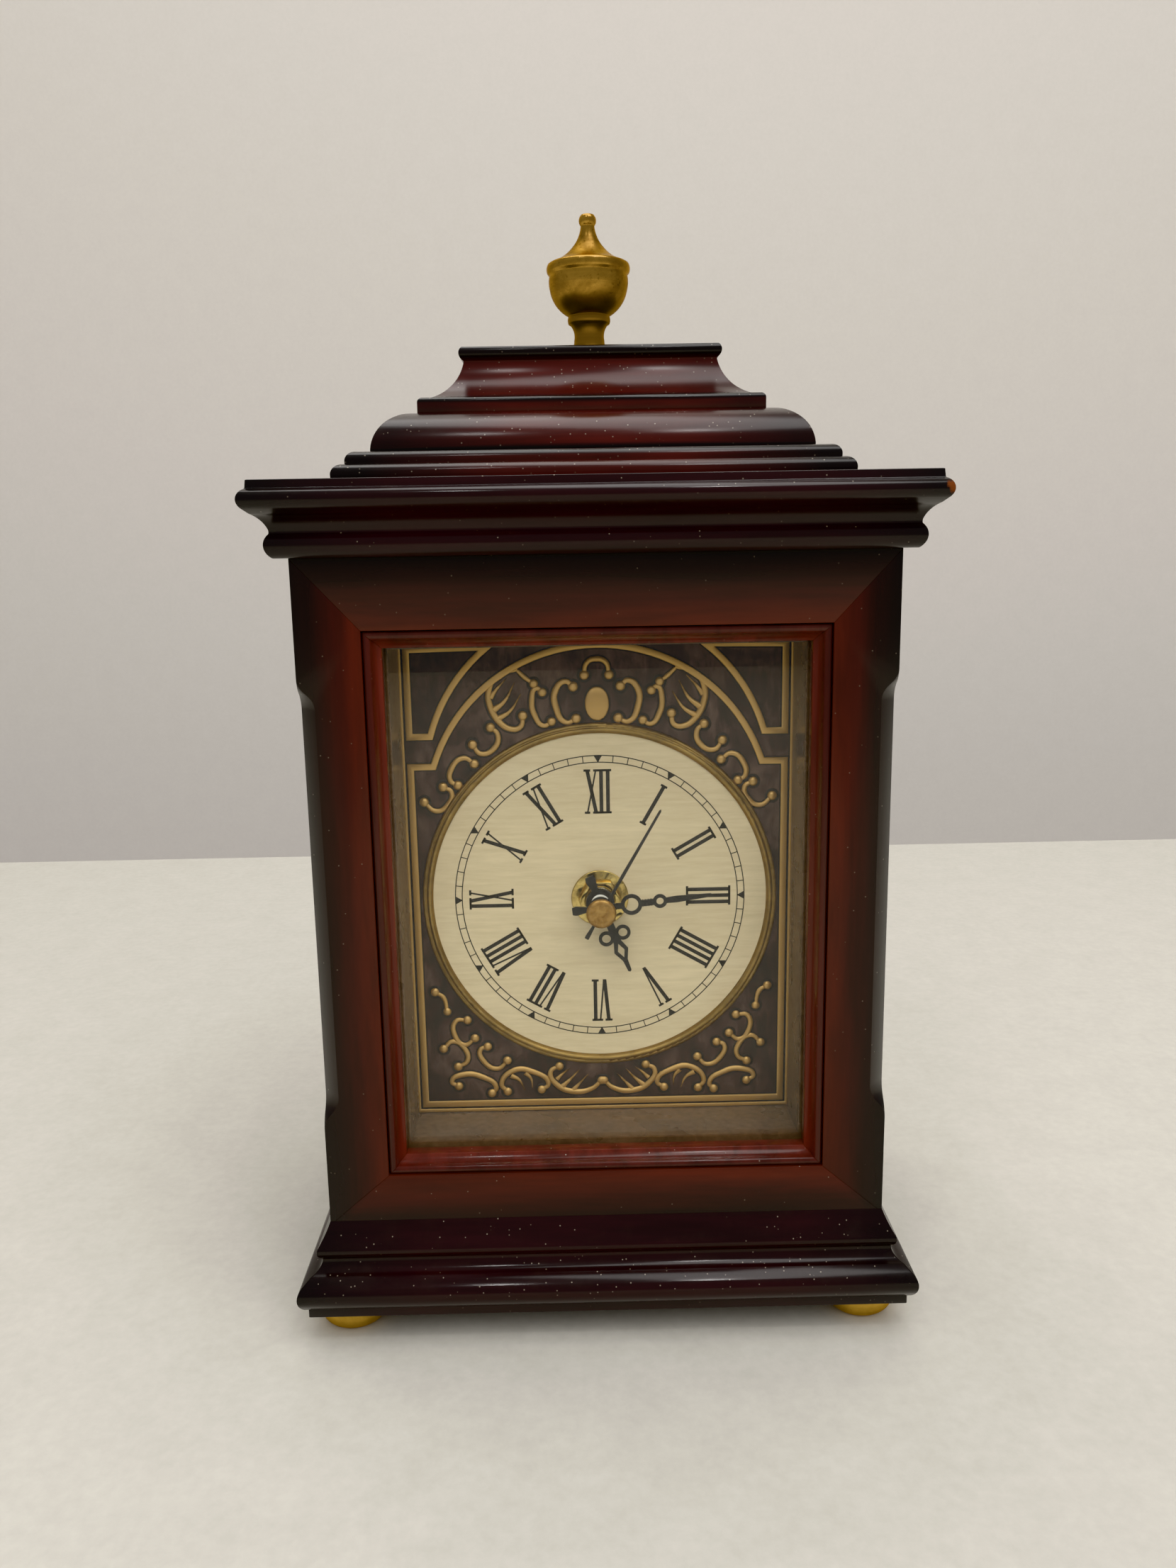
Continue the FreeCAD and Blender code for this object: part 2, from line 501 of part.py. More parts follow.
def train():
    """Every toothed wheel, meshed pair by pair with its neighbour."""
    centre_wheel = gear(CENTRE_TEETH, CENTRE_M, CENTRE_LAYER, CENTRE, THIRD_AT)
    centre_pinion = gear(CENTRE_PINION, MOTION_M, longer(MOTION_LAYER), CENTRE, MOTION_AT)
    minute_core = rod(MINUTE_TUBE[0], (MINUTE_HAND_Y - 0.2, CENTRE_LAYER[1] + 0.2))
    centre = minute_core.fuse([centre_wheel, centre_pinion]).cut(rod(MINUTE_TUBE[1], (-60, 0)))

    third_pinion = gear(THIRD_PINION, CENTRE_M, longer(CENTRE_LAYER), THIRD,
                        meshed(THIRD_AT, CENTRE_TEETH, CENTRE, THIRD_PINION, THIRD))
    third_wheel = gear(THIRD_TEETH, THIRD_M, THIRD_LAYER, THIRD, THIRD_AT)
    third = arbor(THIRD).fuse([third_pinion, third_wheel])

    seconds_pinion = gear(SECONDS_PINION, THIRD_M, longer(THIRD_LAYER), CENTRE,
                          meshed(THIRD_AT, THIRD_TEETH, THIRD, SECONDS_PINION, CENTRE))
    seconds_wheel = gear(SECONDS_TEETH, CENTRE_M, SECONDS_LAYER, CENTRE, INTER_AT)
    seconds_core = rod(SECOND_ARBOR_R, (SECOND_HAND_Y - 0.25, MOVE_SEAM - 0.6))
    seconds = seconds_core.fuse([rod(PIVOT_R, (MOVE_SEAM - 1, PIVOT_BACK)), seconds_pinion, seconds_wheel])

    inter_pinion = gear(INTER_PINION, CENTRE_M, longer(SECONDS_LAYER), INTER,
                        meshed(INTER_AT, SECONDS_TEETH, CENTRE, INTER_PINION, INTER))
    inter_wheel = gear(INTER_TEETH, ROTOR_M, INTER_LAYER, INTER, ROTOR_AT)
    inter = arbor(INTER).fuse([inter_pinion, inter_wheel])

    rotor_pinion = gear(ROTOR_PINION, ROTOR_M, longer(INTER_LAYER), ROTOR,
                        meshed(ROTOR_AT, INTER_TEETH, INTER, ROTOR_PINION, ROTOR))
    rotor = arbor(ROTOR).fuse([rotor_pinion, rod_at(2.5, (-12.6, -11.0), ROTOR)])

    motion_tooth = meshed(MOTION_AT, CENTRE_PINION, CENTRE, MOTION_TEETH, MOTION)
    motion_wheel = gear(MOTION_TEETH, MOTION_M, MOTION_LAYER, MOTION, motion_tooth)
    motion_pinion = gear(MOTION_PINION, HOUR_M, longer(HOUR_LAYER), MOTION, MOTION_AT)
    motion_hub = rod_at(1.3, (HOUR_LAYER[0] - LEAF_EXTRA, MOTION_LAYER[1] + 0.2), MOTION)
    motion = motion_hub.fuse([motion_wheel, motion_pinion]).cut(rod_at(POST_BORE_R, (-60, 0), MOTION))

    hour_wheel = gear(HOUR_TEETH, HOUR_M, HOUR_LAYER, CENTRE,
                      meshed(MOTION_AT, MOTION_PINION, MOTION, HOUR_TEETH, CENTRE))
    hour_core = rod(HOUR_TUBE[0], (HOUR_HAND_Y - 0.1, HOUR_LAYER[1] + 0.2))
    hour = hour_core.fuse(hour_wheel).cut(rod(HOUR_TUBE[1], (-60, 0)))

    setting_pinion = gear(SETTING_PINION, MOTION_M, longer(MOTION_LAYER), SETTING,
                          meshed(motion_tooth, MOTION_TEETH, MOTION, SETTING_PINION, SETTING))
    return {
        "centre_wheel": centre,
        "third_wheel": third,
        "seconds_wheel": seconds,
        "intermediate_wheel": inter,
        "rotor": rotor,
        "motion_wheel": motion,
        "hour_wheel": hour,
        "setting_knob": setting_knob(setting_pinion),
    }


def setting_knob(pinion):
    """The hand-setting stem and its fluted knob behind the cover."""
    stem = rod_at(PIVOT_R, (PIVOT_FRONT, MOTION_LAYER[0]), SETTING)
    stem = stem.fuse([rod_at(SETTING_R, (MOTION_LAYER[0] - 0.5, MOVE_BACK + 1), SETTING), pinion])
    knob_y = (MOVE_BACK + 0.4, MOVE_BACK + 6.4)
    flutes = 24
    points = []
    for tip in range(2 * flutes):
        radius = 6.0 if tip % 2 else 5.6
        points.append(polar(radius, tip * 180.0 / flutes, SETTING))
    outline = face(points, lambda x, z: Vector(x, knob_y[0], DIAL_Z + z))
    return stem.fuse(outline.extrude(Vector(0, knob_y[1] - knob_y[0], 0)))


def rounded_slab(half, corner, y):
    """A square slab with rounded corners, centred on the hand shaft."""
    slab = box((-half, half), y, (DIAL_Z - half, DIAL_Z + half))
    upright = [edge for edge in slab.Edges if abs(edge.tangentAt(edge.FirstParameter).y) > 0.9]
    return slab.makeFillet(corner, upright)


def movement_case():
    """The front tub and back cover of the movement, and its brass bushing."""
    tub = rounded_slab(MOVE_HALF, MOVE_CORNER, (MOVE_FRONT, MOVE_SEAM))
    hollow = rounded_slab(MOVE_HALF - SHELL_T, MOVE_CORNER - SHELL_T, (MOVE_FRONT + SHELL_T, MOVE_SEAM + 1))
    bay_wall = (CELL_Z + CELL_R + 0.3, CELL_Z + CELL_R + 0.9)
    wall = box((-MOVE_HALF + 1, MOVE_HALF - 1), (MOVE_FRONT + 1, MOVE_SEAM), bay_wall)
    tub = tub.cut(hollow).fuse(wall)
    tub = tub.fuse(rod_at(POST_R, (MOVE_FRONT + 1, MOTION_LAYER[1] + 0.5), MOTION))
    tub = tub.cut(rod(BUSH_R, (MOVE_FRONT - 1, MOVE_FRONT + SHELL_T + 0.5)))
    cover = rounded_slab(MOVE_HALF, MOVE_CORNER, (MOVE_SEAM, MOVE_BACK))
    window_half = CELL_LEN / 2 + 0.35
    cover = cover.cut(box((-window_half, window_half), (MOVE_SEAM - 1, MOVE_BACK + 1),
                          (CELL_Z - CELL_R - 0.15, bay_wall[0] - 0.05)))
    front_hole = (MOVE_FRONT + 0.4, MOVE_FRONT + SHELL_T + 1)
    back_hole = (MOVE_SEAM - 1, MOVE_SEAM + 0.7)
    for at in (THIRD, INTER, ROTOR):
        tub = tub.cut(rod_at(PIVOT_HOLE_R, front_hole, at))
        cover = cover.cut(rod_at(PIVOT_HOLE_R, back_hole, at))
    tub = tub.cut(rod_at(PIVOT_HOLE_R, front_hole, SETTING))
    cover = cover.cut(rod_at(SETTING_HOLE_R, (MOVE_SEAM - 1, MOVE_BACK + 1), SETTING))
    cover = cover.cut(rod(PIVOT_HOLE_R, back_hole))
    return {
        "movement_housing": tub,
        "movement_cover": cover,
        "threaded_bushing": tube(BUSH_R, BUSH_BORE_R, (BUSH_FRONT, MOVE_FRONT + SHELL_T)),
    }


def fixings():
    """The washer and hexagon nut that clamp the movement to the dial."""
    disc_front = PLATE_FRONT - DISC_T
    washer_y = (disc_front - 0.6, disc_front)
    nut_y = (disc_front - 3.2, washer_y[0])
    across_corners = 10.6 / math.cos(math.radians(30))
    points = [polar(across_corners / 2, 60 * corner) for corner in range(6)]
    nut = face(points, lambda x, z: Vector(x, nut_y[0], DIAL_Z + z))
    nut = nut.extrude(Vector(0, nut_y[1] - nut_y[0], 0)).cut(rod(BUSH_R, (-60, 0)))
    return {"mounting_washer": tube(8.1, BUSH_R + 0.1, washer_y), "mounting_nut": nut}


def electrics():
    """Stator plate with its coil, circuit board with the contacts, and the cell."""
    plate_y = (-12.2, -11.4)
    plate = box((-24.0, -8.2), plate_y, (DIAL_Z + 9.2, DIAL_Z + 17.5))
    core = box((-23.5, -21.1), plate_y, (DIAL_Z - 10.0, DIAL_Z + 10.0))
    coil = Part.makeCylinder(3.3, 15.0, Vector(-22.3, -11.8, DIAL_Z - 8.5))
    stator = plate.fuse([core, coil]).cut(rod_at(2.95, (-14, -9), ROTOR))
    board_y = (MOVE_FRONT + SHELL_T, MOVE_FRONT + SHELL_T + 0.8)
    board = box((-22.0, -5.0), board_y, (DIAL_Z + 19.0, DIAL_Z + 26.0))
    chip = box((-20.0, -16.0), (board_y[1], board_y[1] + 1.0), (DIAL_Z + 20.5, DIAL_Z + 24.5))
    crystal = Part.makeCylinder(1.0, 6.0, Vector(-13.0, board_y[1] + 0.8, DIAL_Z + 22.5), Vector(1, 0, 0))
    board = board.fuse([chip, crystal])
    contacts = []
    for sign in (-1, 1):
        ends = sorted((sign * 25.7, sign * (MOVE_HALF - SHELL_T)))
        contacts.append(box(ends, (MOVE_FRONT + 2.0, MOVE_SEAM - 1.0), (CELL_Z - 4.0, CELL_Z + 4.0)))
    length = CELL_LEN - 1.0
    can = Part.makeCylinder(CELL_R, length, Vector(-CELL_LEN / 2, CELL_Y, CELL_Z), Vector(1, 0, 0))
    can = can.makeFillet(0.6, [edge for edge in can.Edges if abs(edge.Length - 2 * math.pi * CELL_R) < 0.1])
    nub = Part.makeCylinder(2.7, 1.5, Vector(CELL_LEN / 2 - 1.5, CELL_Y, CELL_Z), Vector(1, 0, 0))
    return {
        "stator_coil": stator,
        "circuit_and_contacts": Part.makeCompound([board] + contacts),
        "battery": can.fuse(nub),
    }


# ---------------------------------------------------------------- hands
def hand_blank(path, front):
    """A flat hand that points at twelve, from half an outline of (half width, height)."""
    outline = path + [(-x, z) for x, z in reversed(path)]
    blank = face(outline, lambda x, z: Vector(x, front, DIAL_Z + z))
    return blank.extrude(Vector(0, HAND_T, 0))


def eye(r_out, r_in, front, height, across=0.0):
    """A ring of a hand, as a disc to add and a disc to cut."""
    layer = (front, front + HAND_T)
    at = (across, height)
    return rod_at(r_out, layer, at), rod_at(r_in, (layer[0] - 1, layer[1] + 1), at)


def assemble_hand(blank, eyes, bore, turn):
    """Add the rings, cut their holes and the bore, and turn the hand to its rest angle."""
    hand = blank
    for ring, _ in eyes:
        hand = hand.fuse(ring)
    for _, hole in eyes:
        hand = hand.cut(hole)
    hand = hand.cut(rod(bore, (-60, 0))).removeSplitter()
    hand.rotate(Vector(0, 0, DIAL_Z), Vector(0, 1, 0), turn)
    return hand


def hands():
    """Hour, minute and second hands in the pierced pattern, and the cap on the second hand."""
    y = HOUR_HAND_Y
    hour = hand_blank([(1.2, -8.2), (1.5, -7.0), (0.9, -4.5), (1.1, 9.0), (1.15, 12.4), (2.1, 15.1),
                       (0.8, 17.9), (0.7, 18.1), (0.5, 21.4), (0.01, 21.8)], y)
    lozenge = [(0, 12.9), (1.0, 15.1), (0, 17.3), (-1.0, 15.1)]
    lozenge = face(lozenge, lambda x, z: Vector(x, HOUR_HAND_Y - 1, DIAL_Z + z))
    hour = hour.cut(lozenge.extrude(Vector(0, 2 * HAND_T + 1, 0)))
    eyes = [eye(4.0, HOUR_TUBE[0], y, 0.0), eye(2.15, 1.25, y, 10.3, -2.5), eye(2.15, 1.25, y, 10.3, 2.5)]
    hour = assemble_hand(hour, eyes, HOUR_TUBE[0], HOUR_DEG)
    y = MINUTE_HAND_Y
    minute = hand_blank([(1.0, -7.9), (1.3, -6.8), (0.8, -4.0), (0.85, 6.0), (0.85, 11.3), (0.85, 14.3),
                         (0.75, 18.0), (0.9, 21.0), (0.45, 30.5), (0.01, 30.9)], y)
    eyes = [eye(3.2, MINUTE_TUBE[0], y, 0.0), eye(2.95, 1.9, y, 8.5), eye(1.95, 1.0, y, 16.4)]
    minute = assemble_hand(minute, eyes, MINUTE_TUBE[0], MINUTE_DEG)
    y = SECOND_HAND_Y
    second = hand_blank([(0.55, -8.3), (0.6, -7.6), (0.35, -4.0), (0.35, 4.0), (0.45, 12.0), (0.3, 32.4),
                         (0.01, 32.8)], y)
    second = assemble_hand(second, [eye(3.0, SECOND_ARBOR_R, y, 0.0)], SECOND_ARBOR_R, SECOND_DEG)
    back = y - 0.25
    cap = [(0, back), (CAP_R, back), ((3.8, back - 0.6), (2.8, back - 0.75)),
           ((1.5, CAP_FRONT + 0.02), (0.6, CAP_FRONT)), (0, CAP_FRONT)]
    return {"hour_hand": hour, "minute_hand": minute, "second_hand": second, "hand_cap": turned_y(cap)}


# ---------------------------------------------------------------- assembly
def build():
    """Every node of the clock by name."""
    nodes = base()
    feet = [foot(x, y) for x in (-FOOT_X, FOOT_X) for y in (-FOOT_Y, FOOT_Y)]
    nodes["feet"] = Part.makeCompound(feet)
    nodes.update(strips("cornice", cornice_profile()))
    nodes.update(body())
    nodes.update(sight_mouldings())
    nodes.update(dial_stack())
    nodes.update(roof())
    nodes["finial"] = finial()
    case_leaves, door_leaves, pins, case_screws, door_screws = hinge_parts()
    nodes["hinge_case_leaves"] = Part.makeCompound(case_leaves)
    nodes["hinge_door_leaves"] = Part.makeCompound(door_leaves)
    nodes["hinge_pins"] = Part.makeCompound(pins)
    nodes["hinge_case_screws"] = Part.makeCompound(case_screws)
    nodes["hinge_door_screws"] = Part.makeCompound(door_screws)
    for one in case_screws:
        nodes["side_right"] = nodes["side_right"].cut(one)
    nodes["rear_door"] = rear_door(door_screws)
    nodes["door_knob"] = door_knob()
    inner = HALF_W - SIDE_T
    door_inside = HALF_D - DOOR_T
    nodes["catch_magnet"] = box((-inner, -inner + 8), (door_inside - 8.0, door_inside - 1.2), (116.0, 130.0))
    nodes["strike_plate"] = box((-inner + 1.2, -inner + 9), (door_inside - 0.8, door_inside), (117.0, 129.0))
    nodes.update(movement_case())
    nodes.update(train())
    nodes.update(fixings())
    nodes.update(electrics())
    nodes.update(hands())
    return nodes


os.makedirs("parts", exist_ok=True)
for node_name, node_shape in build().items():
    node_shape.exportStep(f"parts/{node_name}.step")
    print(f"{node_name}: {len(node_shape.Solids)} solid(s), valid {node_shape.isValid()}")
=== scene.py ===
"""Looks of the wooden mantel clock: its finishes, cast and printed dial detail, and studio.

Sizes in the classes are millimetres, as a clock maker gives them, and meshes are metres in
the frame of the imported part: x to the right, -y to the front, z up.
"""

import logging
import math
from dataclasses import dataclass
from enum import Enum
from typing import Callable, Optional, Union

import bmesh
import bpy
from mathutils import Matrix, Vector


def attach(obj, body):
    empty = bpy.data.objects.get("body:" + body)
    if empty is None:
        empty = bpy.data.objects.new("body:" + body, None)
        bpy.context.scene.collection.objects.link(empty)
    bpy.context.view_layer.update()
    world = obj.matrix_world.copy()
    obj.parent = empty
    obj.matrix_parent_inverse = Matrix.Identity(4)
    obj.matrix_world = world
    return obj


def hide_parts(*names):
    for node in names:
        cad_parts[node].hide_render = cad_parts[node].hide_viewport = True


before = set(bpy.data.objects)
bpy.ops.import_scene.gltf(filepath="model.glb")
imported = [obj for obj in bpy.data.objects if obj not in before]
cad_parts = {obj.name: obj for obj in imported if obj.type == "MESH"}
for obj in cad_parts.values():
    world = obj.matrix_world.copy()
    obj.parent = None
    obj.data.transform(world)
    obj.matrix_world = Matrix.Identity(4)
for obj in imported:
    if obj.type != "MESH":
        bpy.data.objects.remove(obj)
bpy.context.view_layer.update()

MM = 0.001
DIAL_HEIGHT = 117.0
PLATE_FACE = -25.8
LOG = logging.getLogger("mantel_clock")

Colour = tuple[float, float, float, float]
Point = tuple[float, float]
Source = Union[bpy.types.NodeSocket, float, tuple]


def srgb(red: int, green: int, blue: int) -> Colour:
    """Turn a screen colour of 0 to 255 into the linear colour that a shader takes.

    Args:
        red: Red share.
        green: Green share.
        blue: Blue share.

    Returns:
        Linear red, green, blue and an alpha of one.
    """
    def linear(value: int) -> float:
        """One channel."""
        share = value / 255
        return share / 12.92 if share <= 0.04045 else ((share + 0.055) / 1.055) ** 2.4
    return (linear(red), linear(green), linear(blue), 1.0)


def mm(*values: float) -> Vector:
    """A point or a size given in millimetres, in metres."""
    return Vector([value * MM for value in values])


# --------------------------------------------------------------------------- shader tools
@dataclass
class Graph:
    """Adds and joins the nodes of one node tree.

    Attributes:
        tree: The material's or the group's node tree.
    """

    tree: bpy.types.NodeTree

    def add(self, kind: str, **settings: object) -> bpy.types.Node:
        """Add a node to the tree.

        Args:
            kind: Blender's name for the node.
            **settings: Properties of the node and their values.

        Returns:
            The new node.
        """
        node = self.tree.nodes.new(kind)
        for name, value in settings.items():
            setattr(node, name, value)
        return node

    def feed(self, socket: bpy.types.NodeSocket, source: Source) -> None:
        """Give a socket what it needs.

        Args:
            socket: The input socket.
            source: A socket to join to it, or a plain value to set.
        """
        if isinstance(source, bpy.types.NodeSocket):
            self.tree.links.new(source, socket)
        else:
            socket.default_value = source

    def sum(self, operation: str, first: Source, second: Source = 0.0,
            clamp: bool = False) -> bpy.types.NodeSocket:
        """Work out one number from two.

        Args:
            operation: What a math node does with them.
            first: The first number.
            second: The second number.
            clamp: True to keep the result from 0 to 1.

        Returns:
            The result.
        """
        node = self.add("ShaderNodeMath", operation=operation, use_clamp=clamp)
        self.feed(node.inputs[0], first)
        self.feed(node.inputs[1], second)
        return node.outputs[0]

    def blend(self, first: Source, second: Source, share: float) -> bpy.types.NodeSocket:
        """Two patterns added, the first with its share and the second with the rest."""
        return self.sum("ADD", self.sum("MULTIPLY", first, share),
                        self.sum("MULTIPLY", second, 1.0 - share))

    def vector(self, operation: str, first: Source,
               second: Source = (0.0, 0.0, 0.0)) -> bpy.types.NodeSocket:
        """Work out a vector, or a length, from vectors.

        Args:
            operation: What a vector math node does with them.
            first: The first vector.
            second: The second vector.

        Returns:
            The vector, or the length for the operation LENGTH.
        """
        node = self.add("ShaderNodeVectorMath", operation=operation)
        self.feed(node.inputs[0], first)
        self.feed(node.inputs[1], second)
        return node.outputs["Value"] if operation == "LENGTH" else node.outputs["Vector"]

    def split(self, vector: Source) -> tuple[bpy.types.NodeSocket, ...]:
        """The x, y and z of a vector."""
        node = self.add("ShaderNodeSeparateXYZ")
        self.feed(node.inputs[0], vector)
        return tuple(node.outputs)

    def stretch(self, vector: Source, scale: tuple[float, float, float]) -> bpy.types.NodeSocket:
        """Scale coordinates, so that a pattern is drawn out along an axis.

        Args:
            vector: The coordinates.
            scale: Scale on each axis; a small one draws the pattern out.

        Returns:
            The scaled coordinates.
        """
        node = self.add("ShaderNodeMapping")
        self.feed(node.inputs["Vector"], vector)
        self.feed(node.inputs["Scale"], scale)
        return node.outputs[0]

    def noise(self, vector: Source, scale: Source, detail: float = 4.0, rough: float = 0.55,
              twist: float = 0.0) -> bpy.types.NodeSocket:
        """Make a noise pattern.

        Args:
            vector: Where it is read.
            scale: Its size, in waves to a metre.
            detail: How many finer layers it has.
            rough: How strong the finer layers are.
            twist: How far it is distorted.

        Returns:
            The pattern, from 0 to 1.
        """
        node = self.add("ShaderNodeTexNoise")
        self.feed(node.inputs["Vector"], vector)
        self.feed(node.inputs["Scale"], scale)
        self.feed(node.inputs["Detail"], detail)
        self.feed(node.inputs["Roughness"], rough)
        self.feed(node.inputs["Distortion"], twist)
        return node.outputs[0]

    def span(self, value: Source, low: Source, high: Source, out: tuple = (0.0, 1.0),
             smooth: bool = False) -> bpy.types.NodeSocket:
        """Find a value's place between two limits.

        Args:
            value: The value.
            low: Value at the start of the range.
            high: Value at the end of the range; it may be less than low.
            out: What the two limits become.
            smooth: True to ease in and out.

        Returns:
            A number of the out range, clamped.
        """
        node = self.add("ShaderNodeMapRange", interpolation_type="SMOOTHSTEP" if smooth else "LINEAR")
        self.feed(node.inputs["Value"], value)
        self.feed(node.inputs["From Min"], low)
        self.feed(node.inputs["From Max"], high)
        self.feed(node.inputs["To Min"], out[0])
        self.feed(node.inputs["To Max"], out[1])
        return node.outputs[0]

    def mix(self, share: Source, first: Source, second: Source,
            blend: str = "MIX") -> bpy.types.NodeSocket:
        """Mix two colours.

        Args:
            share: Share of the second colour.
            first: The first colour.
            second: The second colour.
            blend: How the second colour acts on the first.

        Returns:
            The mixed colour.
        """
        node = self.add("ShaderNodeMix", data_type="RGBA", blend_type=blend)
        self.feed(node.inputs["Factor"], share)
        self.feed(node.inputs[6], first)
        self.feed(node.inputs[7], second)
        return node.outputs[2]

    def ramp(self, share: Source, stops: list[tuple[float, Colour]]) -> bpy.types.NodeSocket:
        """Read a colour from a row of stops.

        Args:
            share: Where it is read, from 0 to 1.
            stops: Places and their colours.

        Returns:
            The colour.
        """
        node = self.add("ShaderNodeValToRGB")
        row = node.color_ramp.elements
        while len(row) < len(stops):
            row.new(0.5)
        for element, (place, colour) in zip(row, stops):
            element.position, element.color = place, colour
        self.feed(node.inputs[0], share)
        return node.outputs[0]

    def bump(self, height: Source, depth: float) -> bpy.types.NodeSocket:
        """Turn a height pattern into a surface normal.

        Args:
            height: The pattern, from 0 to 1.
            depth: How deep it is, mm.

        Returns:
            The normal.
        """
        node = self.add("ShaderNodeBump")
        self.feed(node.inputs["Strength"], 1.0)
        self.feed(node.inputs["Distance"], depth * MM)
        self.feed(node.inputs["Height"], height)
        return node.outputs[0]

    def place(self) -> bpy.types.NodeSocket:
        """The piece's own coordinates."""
        return self.add("ShaderNodeTexCoord").outputs["Object"]

    def facing(self) -> bpy.types.NodeSocket:
        """The surface normal in the piece's own frame."""
        return self.add("ShaderNodeTexCoord").outputs["Normal"]


GroupBody = Callable[[Graph, bpy.types.NodeOutputs], dict[str, bpy.types.NodeSocket]]


@dataclass(frozen=True)
class SharedGroup:
    """A shader node group that several finishes use.

    Attributes:
        name: Name of the group.
        inputs: Socket names, each with its kind, Float or Vector.
        outputs: Names of the float sockets it gives.
        body: Fills the group and returns the source of each output.
    """

    name: str
    inputs: tuple[tuple[str, str], ...]
    outputs: tuple[str, ...]
    body: GroupBody

    def tree(self) -> bpy.types.NodeTree:
        """The group's node tree, built at its first use."""
        found = bpy.data.node_groups.get(self.name)
        if found:
            return found
        tree = bpy.data.node_groups.new(self.name, "ShaderNodeTree")
        for name, kind in self.inputs:
            tree.interface.new_socket(name=name, in_out="INPUT", socket_type="NodeSocket" + kind)
        for name in self.outputs:
            tree.interface.new_socket(name=name, in_out="OUTPUT", socket_type="NodeSocketFloat")
        graph = Graph(tree)
        source = graph.add("NodeGroupInput")
        sink = graph.add("NodeGroupOutput")
        for name, socket in self.body(graph, source.outputs).items():
            graph.feed(sink.inputs[name], socket)
        return tree

    def use(self, graph: Graph, **values: Source) -> bpy.types.NodeOutputs:
        """Place the group in a tree.

        Args:
            graph: Where it goes.
            **values: A source or a value for each input, by its name.

        Returns:
            The outputs of the placed group.
        """
        node = graph.add("ShaderNodeGroup", node_tree=self.tree())
        for name, value in values.items():
            graph.feed(node.inputs[name], value)
        return node.outputs


def grain_body(graph: Graph, given: bpy.types.NodeOutputs) -> dict[str, bpy.types.NodeSocket]:
    """Broad figure and fine open pores of a close-grained hardwood."""
    figure = graph.noise(given["Vector"], 9.0, 5.0, 0.6, 0.8)
    fibre = graph.noise(given["Vector"], 150.0, 4.0, 0.65, 0.15)
    return {"Figure": figure, "Fibre": fibre}


def shade_body(graph: Graph, given: bpy.types.NodeOutputs) -> dict[str, bpy.types.NodeSocket]:
    """How far a point is from an inner box, along the worst axis and round the corners."""
    away = graph.vector("ABSOLUTE", graph.vector("SUBTRACT", given["Vector"], given["Centre"]))
    share = graph.vector("DIVIDE", graph.vector("SUBTRACT", away, given["Inner"]), given["Fade"])
    across, deep, high = (graph.sum("ADD", part, 0.0, clamp=True) for part in graph.split(share))
    edge = graph.sum("MAXIMUM", graph.sum("MAXIMUM", across, deep), high)
    corner = graph.sum("MINIMUM", across, deep)
    return {"Edge": edge, "Corner": corner}


def dust_body(graph: Graph, given: bpy.types.NodeOutputs) -> dict[str, bpy.types.NodeSocket]:
    """Scattered pale specks, most of them on surfaces that face up."""
    cells = graph.add("ShaderNodeTexVoronoi")
    graph.feed(cells.inputs["Vector"], given["Vector"])
    graph.feed(cells.inputs["Scale"], given["Scale"])
    chosen = graph.sum("LESS_THAN", graph.split(cells.outputs["Color"])[0], given["Density"])
    dot = graph.span(cells.outputs["Distance"], 0.24, 0.10)
    upward = graph.span(graph.split(given["Normal"])[2], -0.1, 0.7, (0.25, 1.0))
    film = graph.sum("MULTIPLY", graph.noise(given["Vector"], 70.0, 5.0, 0.7), upward)
    specks = graph.sum("MULTIPLY", graph.sum("MULTIPLY", chosen, dot), upward)
    return {"Specks": specks, "Film": graph.span(film, 0.42, 0.85)}


def tarnish_body(graph: Graph, given: bpy.types.NodeOutputs) -> dict[str, bpy.types.NodeSocket]:
    """Soft cloudy patches and small spots of darkened brass."""
    clouds = graph.span(graph.noise(given["Vector"], given["Scale"], 5.0, 0.65, 0.6), 0.40, 0.68)
    spots = graph.span(graph.noise(given["Vector"], 900.0, 2.0), 0.62, 0.74)
    return {"Clouds": clouds, "Spots": spots}


def brush_body(graph: Graph, given: bpy.types.NodeOutputs) -> dict[str, bpy.types.NodeSocket]:
    """Fine drawn-out lines; the coordinates that come in are already stretched."""
    fine = graph.noise(given["Vector"], 900.0, 3.0, 0.7)
    broad = graph.noise(given["Vector"], 140.0, 3.0, 0.6)
    return {"Lines": graph.blend(fine, broad, 0.65)}


GRAIN = SharedGroup("wood_grain", (("Vector", "Vector"),), ("Figure", "Fibre"), grain_body)
SHADE = SharedGroup("edge_shade", (("Vector", "Vector"), ("Centre", "Vector"), ("Inner", "Vector"),
                                   ("Fade", "Vector")), ("Edge", "Corner"), shade_body)
DUST = SharedGroup("settled_dust", (("Vector", "Vector"), ("Normal", "Vector"), ("Scale", "Float"),
                                    ("Density", "Float")), ("Specks", "Film"), dust_body)
TARNISH = SharedGroup("brass_tarnish", (("Vector", "Vector"), ("Scale", "Float")), ("Clouds", "Spots"),
                      tarnish_body)
BRUSH = SharedGroup("brushed_lines", (("Vector", "Vector"),), ("Lines",), brush_body)


